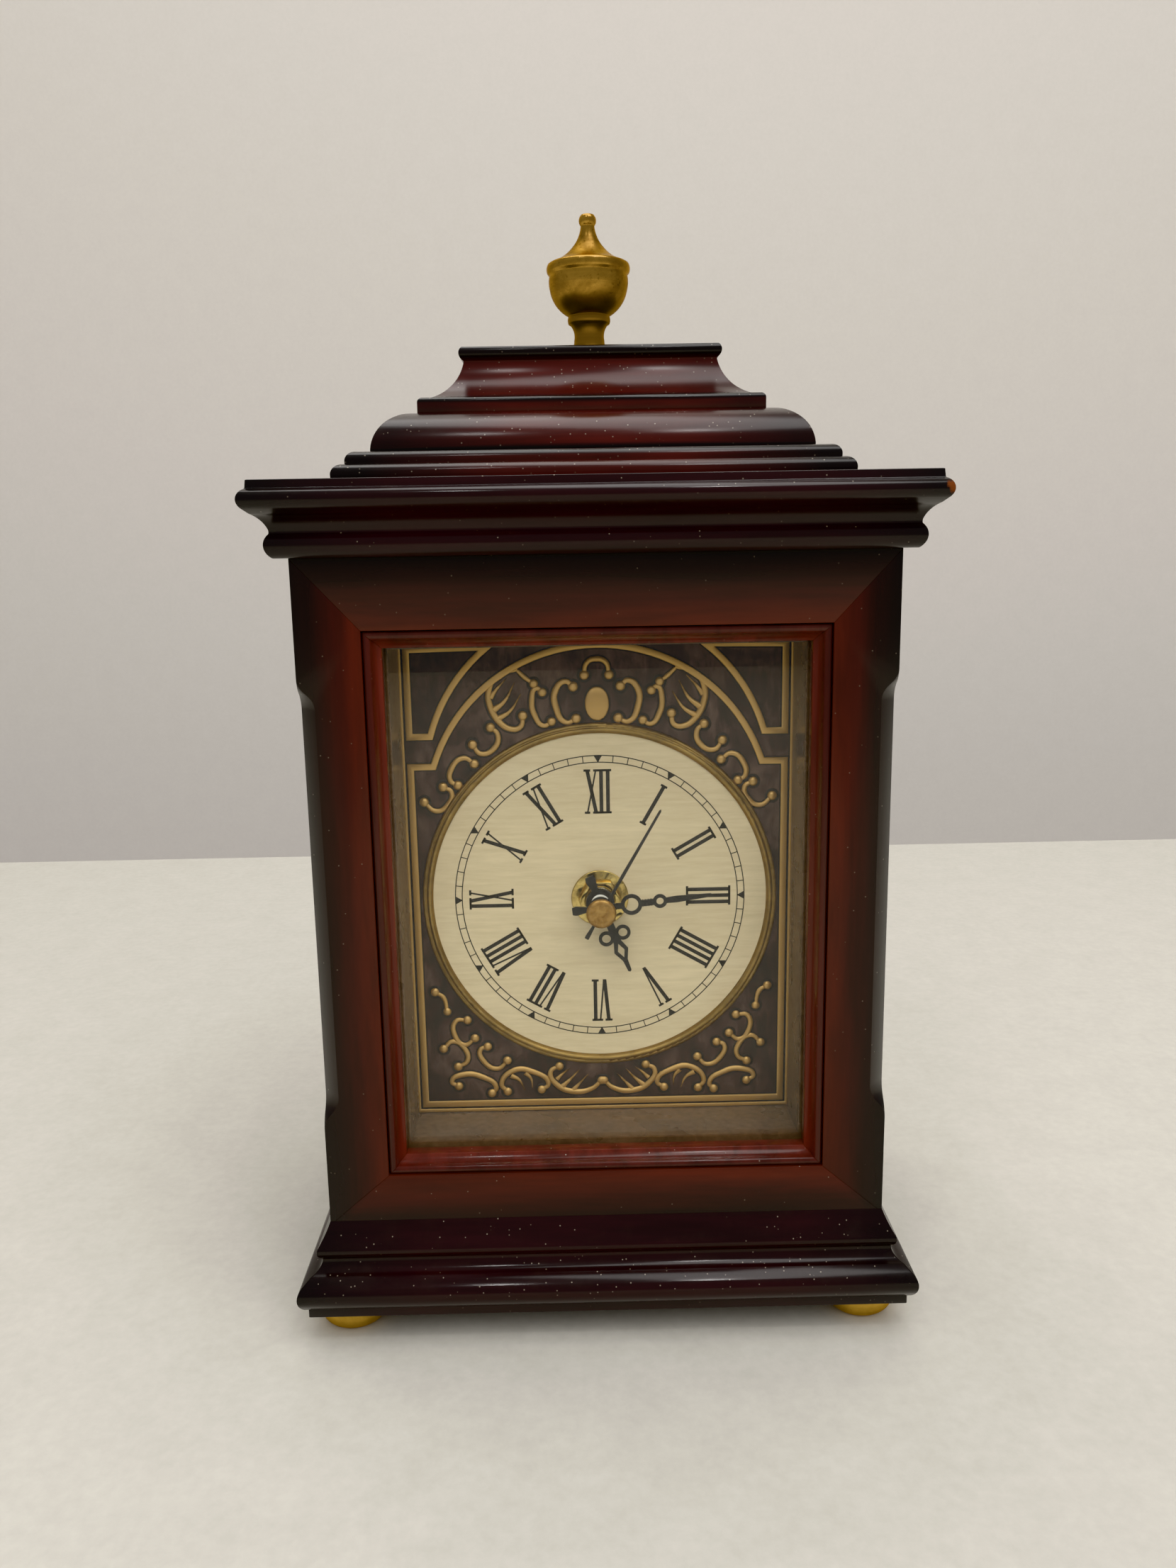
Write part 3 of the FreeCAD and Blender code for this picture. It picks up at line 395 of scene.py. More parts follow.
# --------------------------------------------------------------------------- finishes
@dataclass(frozen=True)
class Finish:
    """A surface finish that becomes one material.

    Attributes:
        name: Name of the material.
    """

    name: str

    def material(self) -> bpy.types.Material:
        """The material, built at its first use."""
        found = bpy.data.materials.get(self.name)
        if found:
            return found
        made = bpy.data.materials.new(self.name)
        made.use_nodes = True
        graph = Graph(made.node_tree)
        shader = made.node_tree.nodes["Principled BSDF"]
        self.paint(graph, shader)
        return made

    def paint(self, graph: Graph, shader: bpy.types.Node) -> None:
        """Join the finish's patterns to the shader."""
        raise NotImplementedError

    @staticmethod
    def join(graph: Graph, shader: bpy.types.Node, colour: Source, rough: Source, height: Source,
             depth: float) -> None:
        """Join the patterns that every solid finish has.

        Args:
            graph: The material's nodes.
            shader: The material's shader.
            colour: Its base colour.
            rough: Its roughness.
            height: Height pattern of its skin.
            depth: Depth of the skin, mm.
        """
        graph.feed(shader.inputs["Base Color"], colour)
        graph.feed(shader.inputs["Roughness"], rough)
        graph.feed(shader.inputs["Normal"], graph.bump(height, depth))

    @staticmethod
    def fix(shader: bpy.types.Node, **values: Union[float, Colour]) -> None:
        """Set sockets that are the same all over.

        Args:
            shader: The material's shader.
            **values: Values by socket; Coat_Weight names the socket Coat Weight.
        """
        for name, value in values.items():
            shader.inputs[name.replace("_", " ")].default_value = value


class Along(Enum):
    """Which way the grain of a piece of wood runs, as the stretch of its pattern."""

    X = (0.10, 1.0, 1.0)
    Z = (1.0, 1.0, 0.10)


@dataclass(frozen=True)
class LacqueredWood(Finish):
    """Mahogany-coloured wood under a shaded satin lacquer.

    Attributes:
        stops: Colours from the clear middle to the shaded edge.
        along: Direction of the grain.
        centre: Middle of the shading box, mm.
        inner: Half sizes of the clear part, mm.
        fade: Width of the fade to the dark edge on each axis, mm.
        round_corners: True where only the ends of a moulding run dark.
        gloss: Roughness of the lacquer.
        dust: Share of the dust cells that hold a speck.
        bands: Heights between which a bead is darkened with painted shade, mm.
        chip: Middle of a knock that shows bare wood, mm.
        bare_wood: Colour of the wood in the knock.
        film_tone: Colour of the settled dust.
        speck_tone: Colour of a dust speck.
        shade_band_fade: How far a band of painted shade fades beyond its heights and inside them, mm.
    """

    stops: tuple[tuple[float, Colour], ...] = ()
    along: Along = Along.X
    centre: tuple[float, float, float] = (0.0, 0.0, 123.0)
    inner: tuple[float, float, float] = (50.0, 30.0, 60.0)
    fade: tuple[float, float, float] = (20.0, 20.0, 20.0)
    round_corners: bool = False
    gloss: float = 0.2
    dust: float = 0.03
    bands: tuple[tuple[float, float], ...] = ()
    chip: Optional[tuple[float, float, float]] = None
    bare_wood: Colour = srgb(112, 66, 44)
    film_tone: Colour = srgb(150, 140, 130)
    speck_tone: Colour = srgb(176, 166, 152)
    shade_band_fade: tuple[float, float] = (0.9, 0.5)

    def shade_mask(self, graph: Graph, place: Source) -> bpy.types.NodeSocket:
        """How far the lacquer has run dark, with the painted shade of the bead bands added, from 0 to 1."""
        shade = SHADE.use(graph, Vector=place, Centre=mm(*self.centre), Inner=mm(*self.inner),
                          Fade=mm(*self.fade))
        mask = shade["Corner" if self.round_corners else "Edge"]
        height = graph.split(place)[2]
        beyond, inside = self.shade_band_fade
        # Painted shade: the beads between these heights are darkened.
        for low, high in self.bands:
            above = graph.span(height, (low - beyond) * MM, (low + inside) * MM, smooth=True)
            below = graph.span(height, (high + beyond) * MM, (high - inside) * MM, smooth=True)
            mask = graph.sum("MAXIMUM", mask, graph.sum("MULTIPLY", above, below))
        return mask

    def chip_mask(self, graph: Graph, place: Source) -> bpy.types.NodeSocket:
        """Where the knock has taken the lacquer off, from 0 to 1."""
        away = graph.vector("LENGTH", graph.vector("SUBTRACT", place, mm(*self.chip)))
        uneven = graph.span(graph.noise(place, 900.0), 0.0, 1.0, (-0.0014, 0.0014))
        return graph.span(graph.sum("ADD", away, uneven), 0.0021, 0.0013)

    def paint(self, graph: Graph, shader: bpy.types.Node) -> None:
        """Shade, grain, dust and a chip in the colour; pores under the lacquer in the normal."""
        place = graph.place()
        grain = GRAIN.use(graph, Vector=graph.stretch(place, self.along.value))
        drift = graph.span(grain["Figure"], 0.3, 0.7, (-0.13, 0.13))
        tone = graph.ramp(graph.sum("ADD", self.shade_mask(graph, place), drift, clamp=True),
                          list(self.stops))
        fibre = graph.span(grain["Fibre"], 0.35, 0.65, (0.62, 1.22))
        colour = graph.mix(1.0, tone, fibre, "MULTIPLY")
        dust = DUST.use(graph, Vector=place, Normal=graph.facing(), Scale=1000.0, Density=self.dust)
        colour = graph.mix(graph.sum("MULTIPLY", dust["Film"], 0.05), colour, self.film_tone)
        colour = graph.mix(graph.sum("MULTIPLY", dust["Specks"], 0.75), colour, self.speck_tone)
        rough = graph.span(dust["Film"], 0.0, 1.0, (0.34, 0.55))
        if self.chip:
            bare = self.chip_mask(graph, place)
            colour = graph.mix(bare, colour, self.bare_wood)
            rough = graph.span(bare, 0.0, 1.0, (0.36, 0.8))
            graph.feed(shader.inputs["Coat Weight"], graph.span(bare, 0.0, 1.0, (1.0, 0.0)))
        else:
            self.fix(shader, Coat_Weight=1.0)
        skin = graph.sum("ADD", grain["Fibre"], graph.sum("MULTIPLY", graph.noise(place, 260.0, 2.0), 1.4))
        self.join(graph, shader, colour, rough, skin, 0.012)
        self.fix(shader, Coat_Roughness=self.gloss, Coat_IOR=1.5, Specular_IOR_Level=0.12)


@dataclass(frozen=True)
class PlainBoard(Finish):
    """Unfinished board inside the case."""

    def paint(self, graph: Graph, shader: bpy.types.Node) -> None:
        """Pressed fibres of a plain board."""
        place = graph.place()
        flecks = graph.noise(graph.stretch(place, (0.4, 1.0, 1.0)), 900.0, 4.0, 0.7)
        clouds = graph.noise(place, 40.0, 3.0)
        tones = [(0.3, srgb(88, 62, 42)), (0.7, srgb(142, 108, 76))]
        colour = graph.ramp(graph.blend(flecks, clouds, 0.6), tones)
        self.join(graph, shader, colour, graph.span(flecks, 0.3, 0.7, (0.7, 0.9)), flecks, 0.08)


@dataclass(frozen=True)
class Brass(Finish):
    """Brass from bright polish to antique.

    Attributes:
        bright: Colour of clean brass.
        dull: Colour of tarnished brass, and of the darker low band.
        tarnish: How strongly the tarnish shows.
        patches: Scale of the tarnish patches.
        polish: Roughness of clean brass.
        turned: True for lathe lines round an upright axis, else lines across.
        low_band: Heights in mm between which a bowl darkens, or None.
        edge_tint: Tint of the reflection at a glancing angle.
        low_share: How dark the low band gets, from 0 to 1.
    """

    bright: Colour = (0.6, 0.4, 0.12, 1.0)
    dull: Colour = (0.1, 0.07, 0.02, 1.0)
    tarnish: float = 0.4
    patches: float = 60.0
    polish: float = 0.25
    turned: bool = True
    low_band: Optional[tuple[float, float]] = None
    edge_tint: Colour = (0.85, 0.7, 0.45, 1.0)
    low_share: float = 0.62

    def paint(self, graph: Graph, shader: bpy.types.Node) -> None:
        """Tarnish and a band darker towards the bottom in the colour and roughness; fine tool lines in the
        normal.
        """
        place = graph.place()
        spread = (0.03, 0.03, 1.0) if self.turned else (0.05, 1.0, 1.0)
        lines = BRUSH.use(graph, Vector=graph.stretch(place, spread))["Lines"]
        marks = TARNISH.use(graph, Vector=place, Scale=self.patches)
        dark = graph.sum("MULTIPLY", marks["Clouds"], self.tarnish)
        dark = graph.sum("ADD", dark, graph.sum("MULTIPLY", marks["Spots"], 0.5 * self.tarnish), clamp=True)
        # A bowl gets darker towards the bottom, below the band's upper height.
        if self.low_band:
            high, low = (value * MM for value in self.low_band)
            band = graph.span(graph.split(place)[2], high, low, smooth=True)
            dark = graph.sum("MAXIMUM", dark, graph.sum("MULTIPLY", band, self.low_share))
        colour = graph.mix(dark, self.bright, self.dull)
        lined = graph.mix(1.0, colour, graph.span(lines, 0.35, 0.65, (0.75, 1.2)), "MULTIPLY")
        rough = graph.span(dark, 0.0, 1.0, (self.polish, self.polish + 0.25))
        self.join(graph, shader, graph.mix(0.5, colour, lined), rough, lines, 0.006)
        self.fix(shader, Metallic=1.0, Specular_Tint=self.edge_tint)


@dataclass(frozen=True)
class DialGold(Finish):
    """Champagne-gold sheet of the dial with a fine horizontal brushing."""

    def paint(self, graph: Graph, shader: bpy.types.Node) -> None:
        """Short horizontal lines in the colour, the roughness and the normal."""
        place = graph.place()
        lines = BRUSH.use(graph, Vector=graph.stretch(place, (0.10, 1.0, 1.0)))["Lines"]
        clouds = graph.noise(place, 35.0, 3.0)
        tones = [(0.36, srgb(205, 187, 149)), (0.64, srgb(224, 207, 170))]
        colour = graph.ramp(graph.blend(lines, clouds, 0.75), tones)
        self.join(graph, shader, colour, graph.span(lines, 0.3, 0.7, (0.42, 0.58)), lines, 0.012)
        self.fix(shader, Metallic=0.12, Coat_Weight=0.55, Coat_Roughness=0.14)


@dataclass(frozen=True)
class Patina(Finish):
    """Purple-brown patina of the sunk parts of the cast dial plate."""

    def paint(self, graph: Graph, shader: bpy.types.Node) -> None:
        """Wiped streaks and blotches over a fine cast skin."""
        place = graph.place()
        streaks = graph.noise(graph.stretch(place, (1.0, 1.0, 0.35)), 320.0, 5.0, 0.7, 0.4)
        blotches = graph.noise(place, 55.0, 4.0, 0.6, 1.2)
        tones = [(0.36, srgb(28, 18, 17)), (0.50, srgb(62, 44, 40)), (0.66, srgb(108, 86, 76))]
        colour = graph.ramp(graph.blend(streaks, blotches, 0.45), tones)
        rough = graph.span(streaks, 0.3, 0.7, (0.34, 0.55))
        self.join(graph, shader, colour, rough, graph.noise(place, 1400.0, 3.0), 0.03)
        self.fix(shader, Metallic=0.45)


@dataclass(frozen=True)
class GiltRelief(Finish):
    """Rubbed gold on the raised parts of the cast plate, dark at its foot.

    Attributes:
        foot: Depth of the ground round the relief, mm.
        crown: Depth of the top of the relief, mm.
    """

    foot: float = PLATE_FACE
    crown: float = PLATE_FACE - 0.35

    def paint(self, graph: Graph, shader: bpy.types.Node) -> None:
        """Gold that fades to the patina where the relief meets its ground."""
        place = graph.place()
        rise = graph.span(graph.split(place)[1], self.foot * MM, self.crown * MM)
        wear = graph.span(graph.noise(place, 420.0, 4.0, 0.7), 0.3, 0.7, (-0.28, 0.28))
        share = graph.sum("ADD", rise, wear, clamp=True)
        tones = [(0.0, srgb(60, 44, 28)), (0.30, srgb(136, 104, 58)), (0.7, srgb(196, 158, 98))]
        rough = graph.span(share, 0.0, 1.0, (0.6, 0.36))
        self.join(graph, shader, graph.ramp(share, tones), rough, graph.noise(place, 1100.0, 3.0), 0.02)
        self.fix(shader, Metallic=0.75)


@dataclass(frozen=True)
class Coat(Finish):
    """Paint, print, plastic or plated metal with a fine skin.

    Attributes:
        light: Lighter of its two tones.
        dark: Darker of its two tones.
        rough: Least and greatest roughness.
        skin: Scale of the fine skin.
        depth: Depth of the skin, mm.
        metal: Metallic share.
        stretch: How the pattern is drawn out on each axis.
        dust: Share of the dust cells that hold a speck.
        film_tone: Colour of the settled dust.
        speck_tone: Colour of a dust speck.
    """

    light: Colour = (0.02, 0.02, 0.02, 1.0)
    dark: Colour = (0.01, 0.01, 0.01, 1.0)
    rough: tuple[float, float] = (0.35, 0.5)
    skin: float = 700.0
    depth: float = 0.01
    metal: float = 0.0
    stretch: tuple[float, float, float] = (1.0, 1.0, 1.0)
    dust: float = 0.0
    film_tone: Colour = srgb(120, 115, 105)
    speck_tone: Colour = srgb(185, 178, 165)

    def paint(self, graph: Graph, shader: bpy.types.Node) -> None:
        """Two tones, uneven roughness and a fine skin."""
        place = graph.place()
        skin = graph.noise(graph.stretch(place, self.stretch), self.skin, 4.0, 0.65)
        clouds = graph.noise(place, 60.0, 3.0)
        colour = graph.ramp(graph.blend(skin, clouds, 0.6), [(0.35, self.dark), (0.65, self.light)])
        if self.dust:
            dust = DUST.use(graph, Vector=place, Normal=graph.facing(), Scale=1300.0, Density=self.dust)
            colour = graph.mix(graph.sum("MULTIPLY", dust["Specks"], 0.7), colour, self.speck_tone)
            colour = graph.mix(graph.sum("MULTIPLY", dust["Film"], 0.3), colour, self.film_tone)
        self.join(graph, shader, colour, graph.span(clouds, 0.35, 0.65, self.rough), skin, self.depth)
        self.fix(shader, Metallic=self.metal)


@dataclass(frozen=True)
class Glazing(Finish):
    """Clear float glass with the faintest smear."""

    def paint(self, graph: Graph, shader: bpy.types.Node) -> None:
        """Glass that lets lamps light what is behind it."""
        smear = graph.noise(graph.place(), 30.0, 4.0, 0.6, 0.8)
        graph.feed(shader.inputs["Roughness"], graph.span(smear, 0.45, 0.8, (0.0, 0.06)))
        self.fix(shader, Transmission_Weight=1.0, IOR=1.5, Base_Color=srgb(250, 252, 250))
        clear = graph.add("ShaderNodeBsdfTransparent")
        chosen = graph.add("ShaderNodeMixShader")
        output = graph.tree.nodes["Material Output"]
        graph.feed(chosen.inputs[0], graph.add("ShaderNodeLightPath").outputs["Is Shadow Ray"])
        graph.feed(chosen.inputs[1], shader.outputs[0])
        graph.feed(chosen.inputs[2], clear.outputs[0])
        graph.feed(output.inputs["Surface"], chosen.outputs[0])


FACE_STOPS = ((0.0, srgb(76, 24, 11)), (0.35, srgb(52, 14, 8)), (0.68, srgb(26, 9, 7)),
              (1.0, srgb(11, 6, 6)))
DARK_STOPS = ((0.0, srgb(34, 14, 17)), (0.5, srgb(26, 12, 15)), (1.0, srgb(13, 9, 11)))
ROOF_STOPS = ((0.0, srgb(70, 20, 16)), (0.5, srgb(44, 14, 14)), (1.0, srgb(13, 8, 10)))
SIGHT_STOPS = ((0.0, srgb(98, 44, 36)), (0.5, srgb(80, 36, 31)), (1.0, srgb(48, 24, 23)))

FACE_BOX = dict(stops=FACE_STOPS, centre=(0, 0, 121), inner=(59.3, 900, 73.9), fade=(16.7, 1, 18.1),
                gloss=0.24)
FACE_UPRIGHT = LacqueredWood("lacquer_face_upright", along=Along.Z, **FACE_BOX)
FACE_ACROSS = LacqueredWood("lacquer_face_across", along=Along.X, **FACE_BOX)
SIDE_WOOD = LacqueredWood("lacquer_side", FACE_STOPS, Along.Z, (0, 0, 123), (900, 30, 62), (1, 23, 28),
                          gloss=0.24)
DOOR_WOOD = LacqueredWood("lacquer_door", FACE_STOPS, Along.Z, (0, 0, 123), (42, 900, 62), (25, 1, 28),
                          gloss=0.24)
BASE_WOOD = LacqueredWood("lacquer_base", DARK_STOPS, Along.X, (0, 0, 20), (50, 26, 900), (34, 34, 1), True,
                          gloss=0.16, dust=0.10)
CORNICE_WOOD = LacqueredWood("lacquer_cornice", DARK_STOPS, Along.X, (0, 0, 222), (50, 28, 900),
                             (34, 34, 1), True, gloss=0.16, dust=0.05, chip=(85.4, -62.4, 227.4))
# The bands paint shade onto the roof's beads at these heights.
ROOF_WOOD = LacqueredWood("lacquer_roof", ROOF_STOPS, Along.X, (0, 0, 250), (22, 4, 900), (38, 38, 1), True,
                          gloss=0.22, dust=0.14, bands=((265.2, 271.0), (252.9, 254.6), (238.4, 240.4)))
SIGHT_WOOD = LacqueredWood("lacquer_sight", SIGHT_STOPS, Along.Z, (0, 0, 121), (54.9, 900, 69.5),
                           (4.4, 1, 4.4), gloss=0.18, dust=0.05)
BOARD = PlainBoard("unfinished_board")
ANTIQUE = Brass("aged_brass", srgb(196, 158, 92), srgb(108, 80, 42), 0.8, 90.0, 0.20, low_band=(286.0, 279.0))
FOOT_BRASS = Brass("aged_brass_foot", srgb(206, 170, 96), srgb(140, 108, 52), 0.5, 90.0, 0.36)
POLISHED = Brass("bright_brass", srgb(222, 196, 124), srgb(134, 106, 52), 0.7, 200.0, 0.10)
CAP_BRASS = Brass("hand_cap_brass", srgb(196, 156, 92), srgb(150, 108, 54), 0.7, 420.0, 0.40, turned=False)
RING_GILT = Brass("dial_ring_gilt", srgb(172, 142, 84), srgb(112, 88, 46), 0.45, 120.0, 0.40, turned=False)
BUSHING = Brass("threaded_bushing_brass", srgb(214, 206, 178), srgb(150, 130, 84), 0.4, 140.0, 0.2)
DIAL_SHEET = DialGold("dial_sheet_gold")
PLATE_PATINA = Patina("dial_plate_patina")
RELIEF = GiltRelief("dial_relief_gilt")
WASH = Coat("relief_dark_wash", srgb(34, 24, 22), srgb(18, 12, 12), (0.4, 0.6), 600.0, 0.02, 0.3)
PRINT = Coat("dial_print", srgb(30, 28, 26), srgb(16, 15, 15), (0.45, 0.6), 900.0, 0.004)
HAND_BLACK = Coat("hand_enamel", srgb(26, 26, 28), srgb(14, 14, 16), (0.34, 0.48), 900.0, 0.006)
LINER_PAINT = Coat("liner_paint", srgb(134, 112, 92), srgb(102, 85, 70), (0.24, 0.34), 500.0, 0.01, 0.35,
                   dust=0.06)
CASE_PLASTIC = Coat("black_moulding", srgb(34, 34, 36), srgb(22, 22, 24), (0.42, 0.58), 1600.0, 0.03)
GEAR_NYLON = Coat("gear_nylon", srgb(232, 230, 222), srgb(206, 204, 196), (0.35, 0.5), 600.0, 0.01)
STEEL = Coat("bright_steel", srgb(176, 178, 182), srgb(132, 134, 138), (0.25, 0.42), 500.0, 0.01, 1.0,
             (0.1, 1.0, 1.0))
MAGNET = Coat("catch_magnet_white", srgb(214, 210, 200), srgb(186, 180, 168), (0.4, 0.55), 700.0, 0.01)
CIRCUIT = Coat("circuit_green", srgb(40, 96, 60), srgb(22, 66, 40), (0.35, 0.5), 800.0, 0.01)
BATTERY_WRAP = Coat("cell_wrap", srgb(196, 124, 54), srgb(150, 86, 34), (0.22, 0.34), 400.0, 0.006, 0.6)
GLASS = Glazing("window_glass")


# --------------------------------------------------------------------------- mesh tools
def shaded(mesh: bpy.types.Mesh, degrees: float = 32.0) -> None:
    """Shade a mesh smooth, with creases sharper than an angle kept crisp."""
    mesh.shade_smooth()
    mesh.set_sharp_from_angle(angle=math.radians(degrees))


def piece(name: str, bm: bmesh.types.BMesh, finish: Finish, body: str, slot: str, *stands_for: str,
          crease: float = 32.0) -> bpy.types.Object:
    """Make an object of a finished mesh and set it on its body.

    Args:
        name: Name of the piece.
        bm: The mesh, in metres in the frame; it is freed.
        finish: What it is finished in.
        body: The CAD body that it rides on.
        slot: The material slot of the record; not used.
        *stands_for: CAD nodes that it replaces.
        crease: Edges sharper than this stay crisp, degrees.

    Returns:
        The new object.
    """
    mesh = bpy.data.meshes.new(name)
    bm.to_mesh(mesh)
    bm.free()
    shaded(mesh, crease)
    mesh.materials.append(finish.material())
    made = bpy.data.objects.new(name, mesh)
    bpy.context.scene.collection.objects.link(made)
    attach(made, body)
    if stands_for:
        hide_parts(*stands_for)
    LOG.info("%s: %d faces", name, len(mesh.polygons))
    return made


def dress(finish: Finish, *nodes: str) -> None:
    """Give CAD nodes that are shown as they are their finish.

    Args:
        finish: What they are finished in.
        *nodes: Names of the CAD nodes.
    """
    for node in nodes:
        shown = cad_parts[node]
        shown.data.materials.clear()
        shown.data.materials.append(finish.material())
        LOG.info("%s: dressed in %s", node, finish.name)


def eased(node: str, width: float, steps: int = 2, crease: float = 30.0) -> bmesh.types.BMesh:
    """A CAD node's shape with its sharp edges rounded over.

    Args:
        node: Name of the CAD node.
        width: Width of the rounding, mm.
        steps: Segments of the rounding.
        crease: Edges sharper than this are rounded, degrees.

    Returns:
        The new mesh.
    """
    bm = bmesh.new()
    bm.from_mesh(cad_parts[node].data)
    bmesh.ops.remove_doubles(bm, verts=bm.verts, dist=2e-6)
    bmesh.ops.dissolve_limit(bm, angle_limit=math.radians(0.4), verts=bm.verts, edges=bm.edges)
    sharp = [edge for edge in bm.edges
             if edge.is_manifold and edge.calc_face_angle(0.0) > math.radians(crease)]
    bmesh.ops.bevel(bm, geom=sharp, offset=width * MM, offset_type="OFFSET", segments=steps, profile=0.5,
                    affect="EDGES", clamp_overlap=True, material=-1)
    return bm


def eased_piece(node: str, finish: Finish, body: str, slot: str, width: float, steps: int = 2,
                crease: float = 30.0) -> bpy.types.Object:
    """Show a CAD node as a piece with rounded edges.

    Args:
        node: Name of the CAD node.
        finish: What it is finished in.
        body: The CAD body that it rides on.
        slot: The material slot of the record; passed on to piece, which does not use it.
        width: Width of the rounding, mm.
        steps: Segments of the rounding.
        crease: Edges sharper than this are rounded, degrees.

    Returns:
        The new object.
    """
    return piece(f"{node}_eased", eased(node, width, steps, crease), finish, body, slot, node, crease=40.0)


# --------------------------------------------------------------------------- case
@dataclass
class Carcass:
    """Boards, front frame, sides and rear door of the case.

    Attributes:
        edge: Rounding of the lacquered edges, mm.
        rail_edge: Rounding of the rails, which meet the stiles in a mitre, mm.
    """

    edge: float = 0.35
    rail_edge: float = 0.12

    def build(self) -> None:
        """Dress the boards and show the visible wood with soft edges."""
        dress(BOARD, "base_board", "top_board", "dial_board")
        for side in ("left", "right"):
            eased_piece(f"frame_stile_{side}", FACE_UPRIGHT, "case", "case_wood", self.edge)
            eased_piece(f"side_{side}", SIDE_WOOD, "case", "case_wood", self.edge)
        for end in ("top", "bottom"):
            eased_piece(f"frame_rail_{end}", FACE_ACROSS, "case", "case_wood", self.rail_edge)
        eased_piece("rear_door", DOOR_WOOD, "door", "case_wood", self.edge)


@dataclass
class Mouldings:
    """Base, cornice and sight mouldings.

    Attributes:
        edge: Rounding of the moulded edges, mm.
        sight_edge: Rounding of the sight moulding, mm.
    """

    edge: float = 0.2
    sight_edge: float = 0.12

    def build(self) -> None:
        """Show each mitred strip with soft edges."""
        for side in ("front", "right", "back", "left"):
            eased_piece(f"base_moulding_{side}", BASE_WOOD, "case", "case_wood", self.edge)
            eased_piece(f"cornice_{side}", CORNICE_WOOD, "case", "case_wood", self.edge)
        for side in ("right", "left", "top", "bottom"):
            eased_piece(f"sight_moulding_{side}", SIGHT_WOOD, "case", "case_wood", self.sight_edge)


@dataclass
class Roof:
    """The three stacked blocks under the finial.

    Attributes:
        edge: Rounding of the moulded edges, mm.
    """

    edge: float = 0.22

    def build(self) -> None:
        """Show each block with soft edges."""
        for block in ("roof_step", "roof_block", "roof_cap"):
            eased_piece(block, ROOF_WOOD, "case", "case_wood", self.edge)


@dataclass
class Brassware:
    """Finial, feet, hinges and door knob.

    Attributes:
        turned_edge: Rounding of the turned edges, mm.
        turned_crease: Edges of turned brass sharper than this are rounded, degrees.
        leaf_edge: Rounding of the hinge leaves, mm.
    """

    turned_edge: float = 0.1
    turned_crease: float = 50.0
    leaf_edge: float = 0.08

    def build(self) -> None:
        """Show the turned brass and dress the small fittings."""
        turned = (self.turned_edge, 1, self.turned_crease)
        eased_piece("finial", ANTIQUE, "case", "antique_brass", *turned)
        eased_piece("feet", FOOT_BRASS, "case", "antique_brass", *turned)
        eased_piece("door_knob", POLISHED, "door", "polished_brass", *turned)
        eased_piece("hinge_case_leaves", POLISHED, "case", "polished_brass", self.leaf_edge, 1)
        eased_piece("hinge_door_leaves", POLISHED, "door", "polished_brass", self.leaf_edge, 1)
        dress(POLISHED, "hinge_pins", "hinge_case_screws", "hinge_door_screws")
        dress(STEEL, "strike_plate")
        dress(MAGNET, "catch_magnet")


# --------------------------------------------------------------------------- dial
SCROLL_ENDS = (0.7, 0.7)
LEAF_ENDS = (1.0, 0.15)
LEAF_TIP = 0.3
SCROLL_TAPER = 2.6


@dataclass(frozen=True)
class Strand:
    """One raised line of the cast plate.

    Attributes:
        path: Points across and up from the dial centre, mm.
        width: Width at its middle, mm.
        ends: Width at its start and end as a share of the middle.
        balls: Radius of the ball on its start and end, mm.
        mirrored: True if a twin stands on the other side.
    """

    path: tuple[Point, ...]
    width: float = 1.25
    ends: tuple[float, float] = (0.75, 0.75)
    balls: tuple[float, float] = (0.0, 0.0)
    mirrored: bool = True

    def girth(self, share: float) -> float:
        """How thick it is at a place along it, as a share of its middle.

        Args:
            share: Place along it, from 0 at its start to 1 at its end.

        Returns:
            The share: a leaf tapers to its tip, and a scroll only close to its ends.
        """
        start, end = self.ends
        if end < LEAF_TIP:
            return start + (end - start) * share
        near = start if share < 0.5 else end
        return near + (1.0 - near) * min(1.0, SCROLL_TAPER * min(share, 1.0 - share))


def scroll(*path: Point, width: float = 1.3, balls: tuple[float, float] = (1.0, 1.0)) -> Strand:
    """A scroll with a ball on each end."""
    return Strand(path, width, SCROLL_ENDS, balls)


def leaf(*path: Point, width: float = 1.3) -> Strand:
    """A leaf that tapers to a point."""
    return Strand(path, width, LEAF_ENDS)


def arc(centre: Point, radius: float, start: float, end: float, count: int) -> tuple[Point, ...]:
    """Find points along a circular arc, with angles from the right, turning up.

    Args:
        centre: Centre of the arc, mm.
        radius: Its radius, mm.
        start: Angle at its start, degrees.
        end: Angle at its end, degrees.
        count: How many steps it has.

    Returns:
        Its points, mm.
    """
    angles = [math.radians(start + (end - start) * step / count) for step in range(count + 1)]
    return tuple((centre[0] + radius * math.cos(a), centre[1] + radius * math.sin(a)) for a in angles)


def angle_at(centre: Point, point: Point) -> float:
    """The direction of a point from a centre, degrees from the right, turning up."""
    return math.degrees(math.atan2(point[1] - centre[1], point[0] - centre[0]))


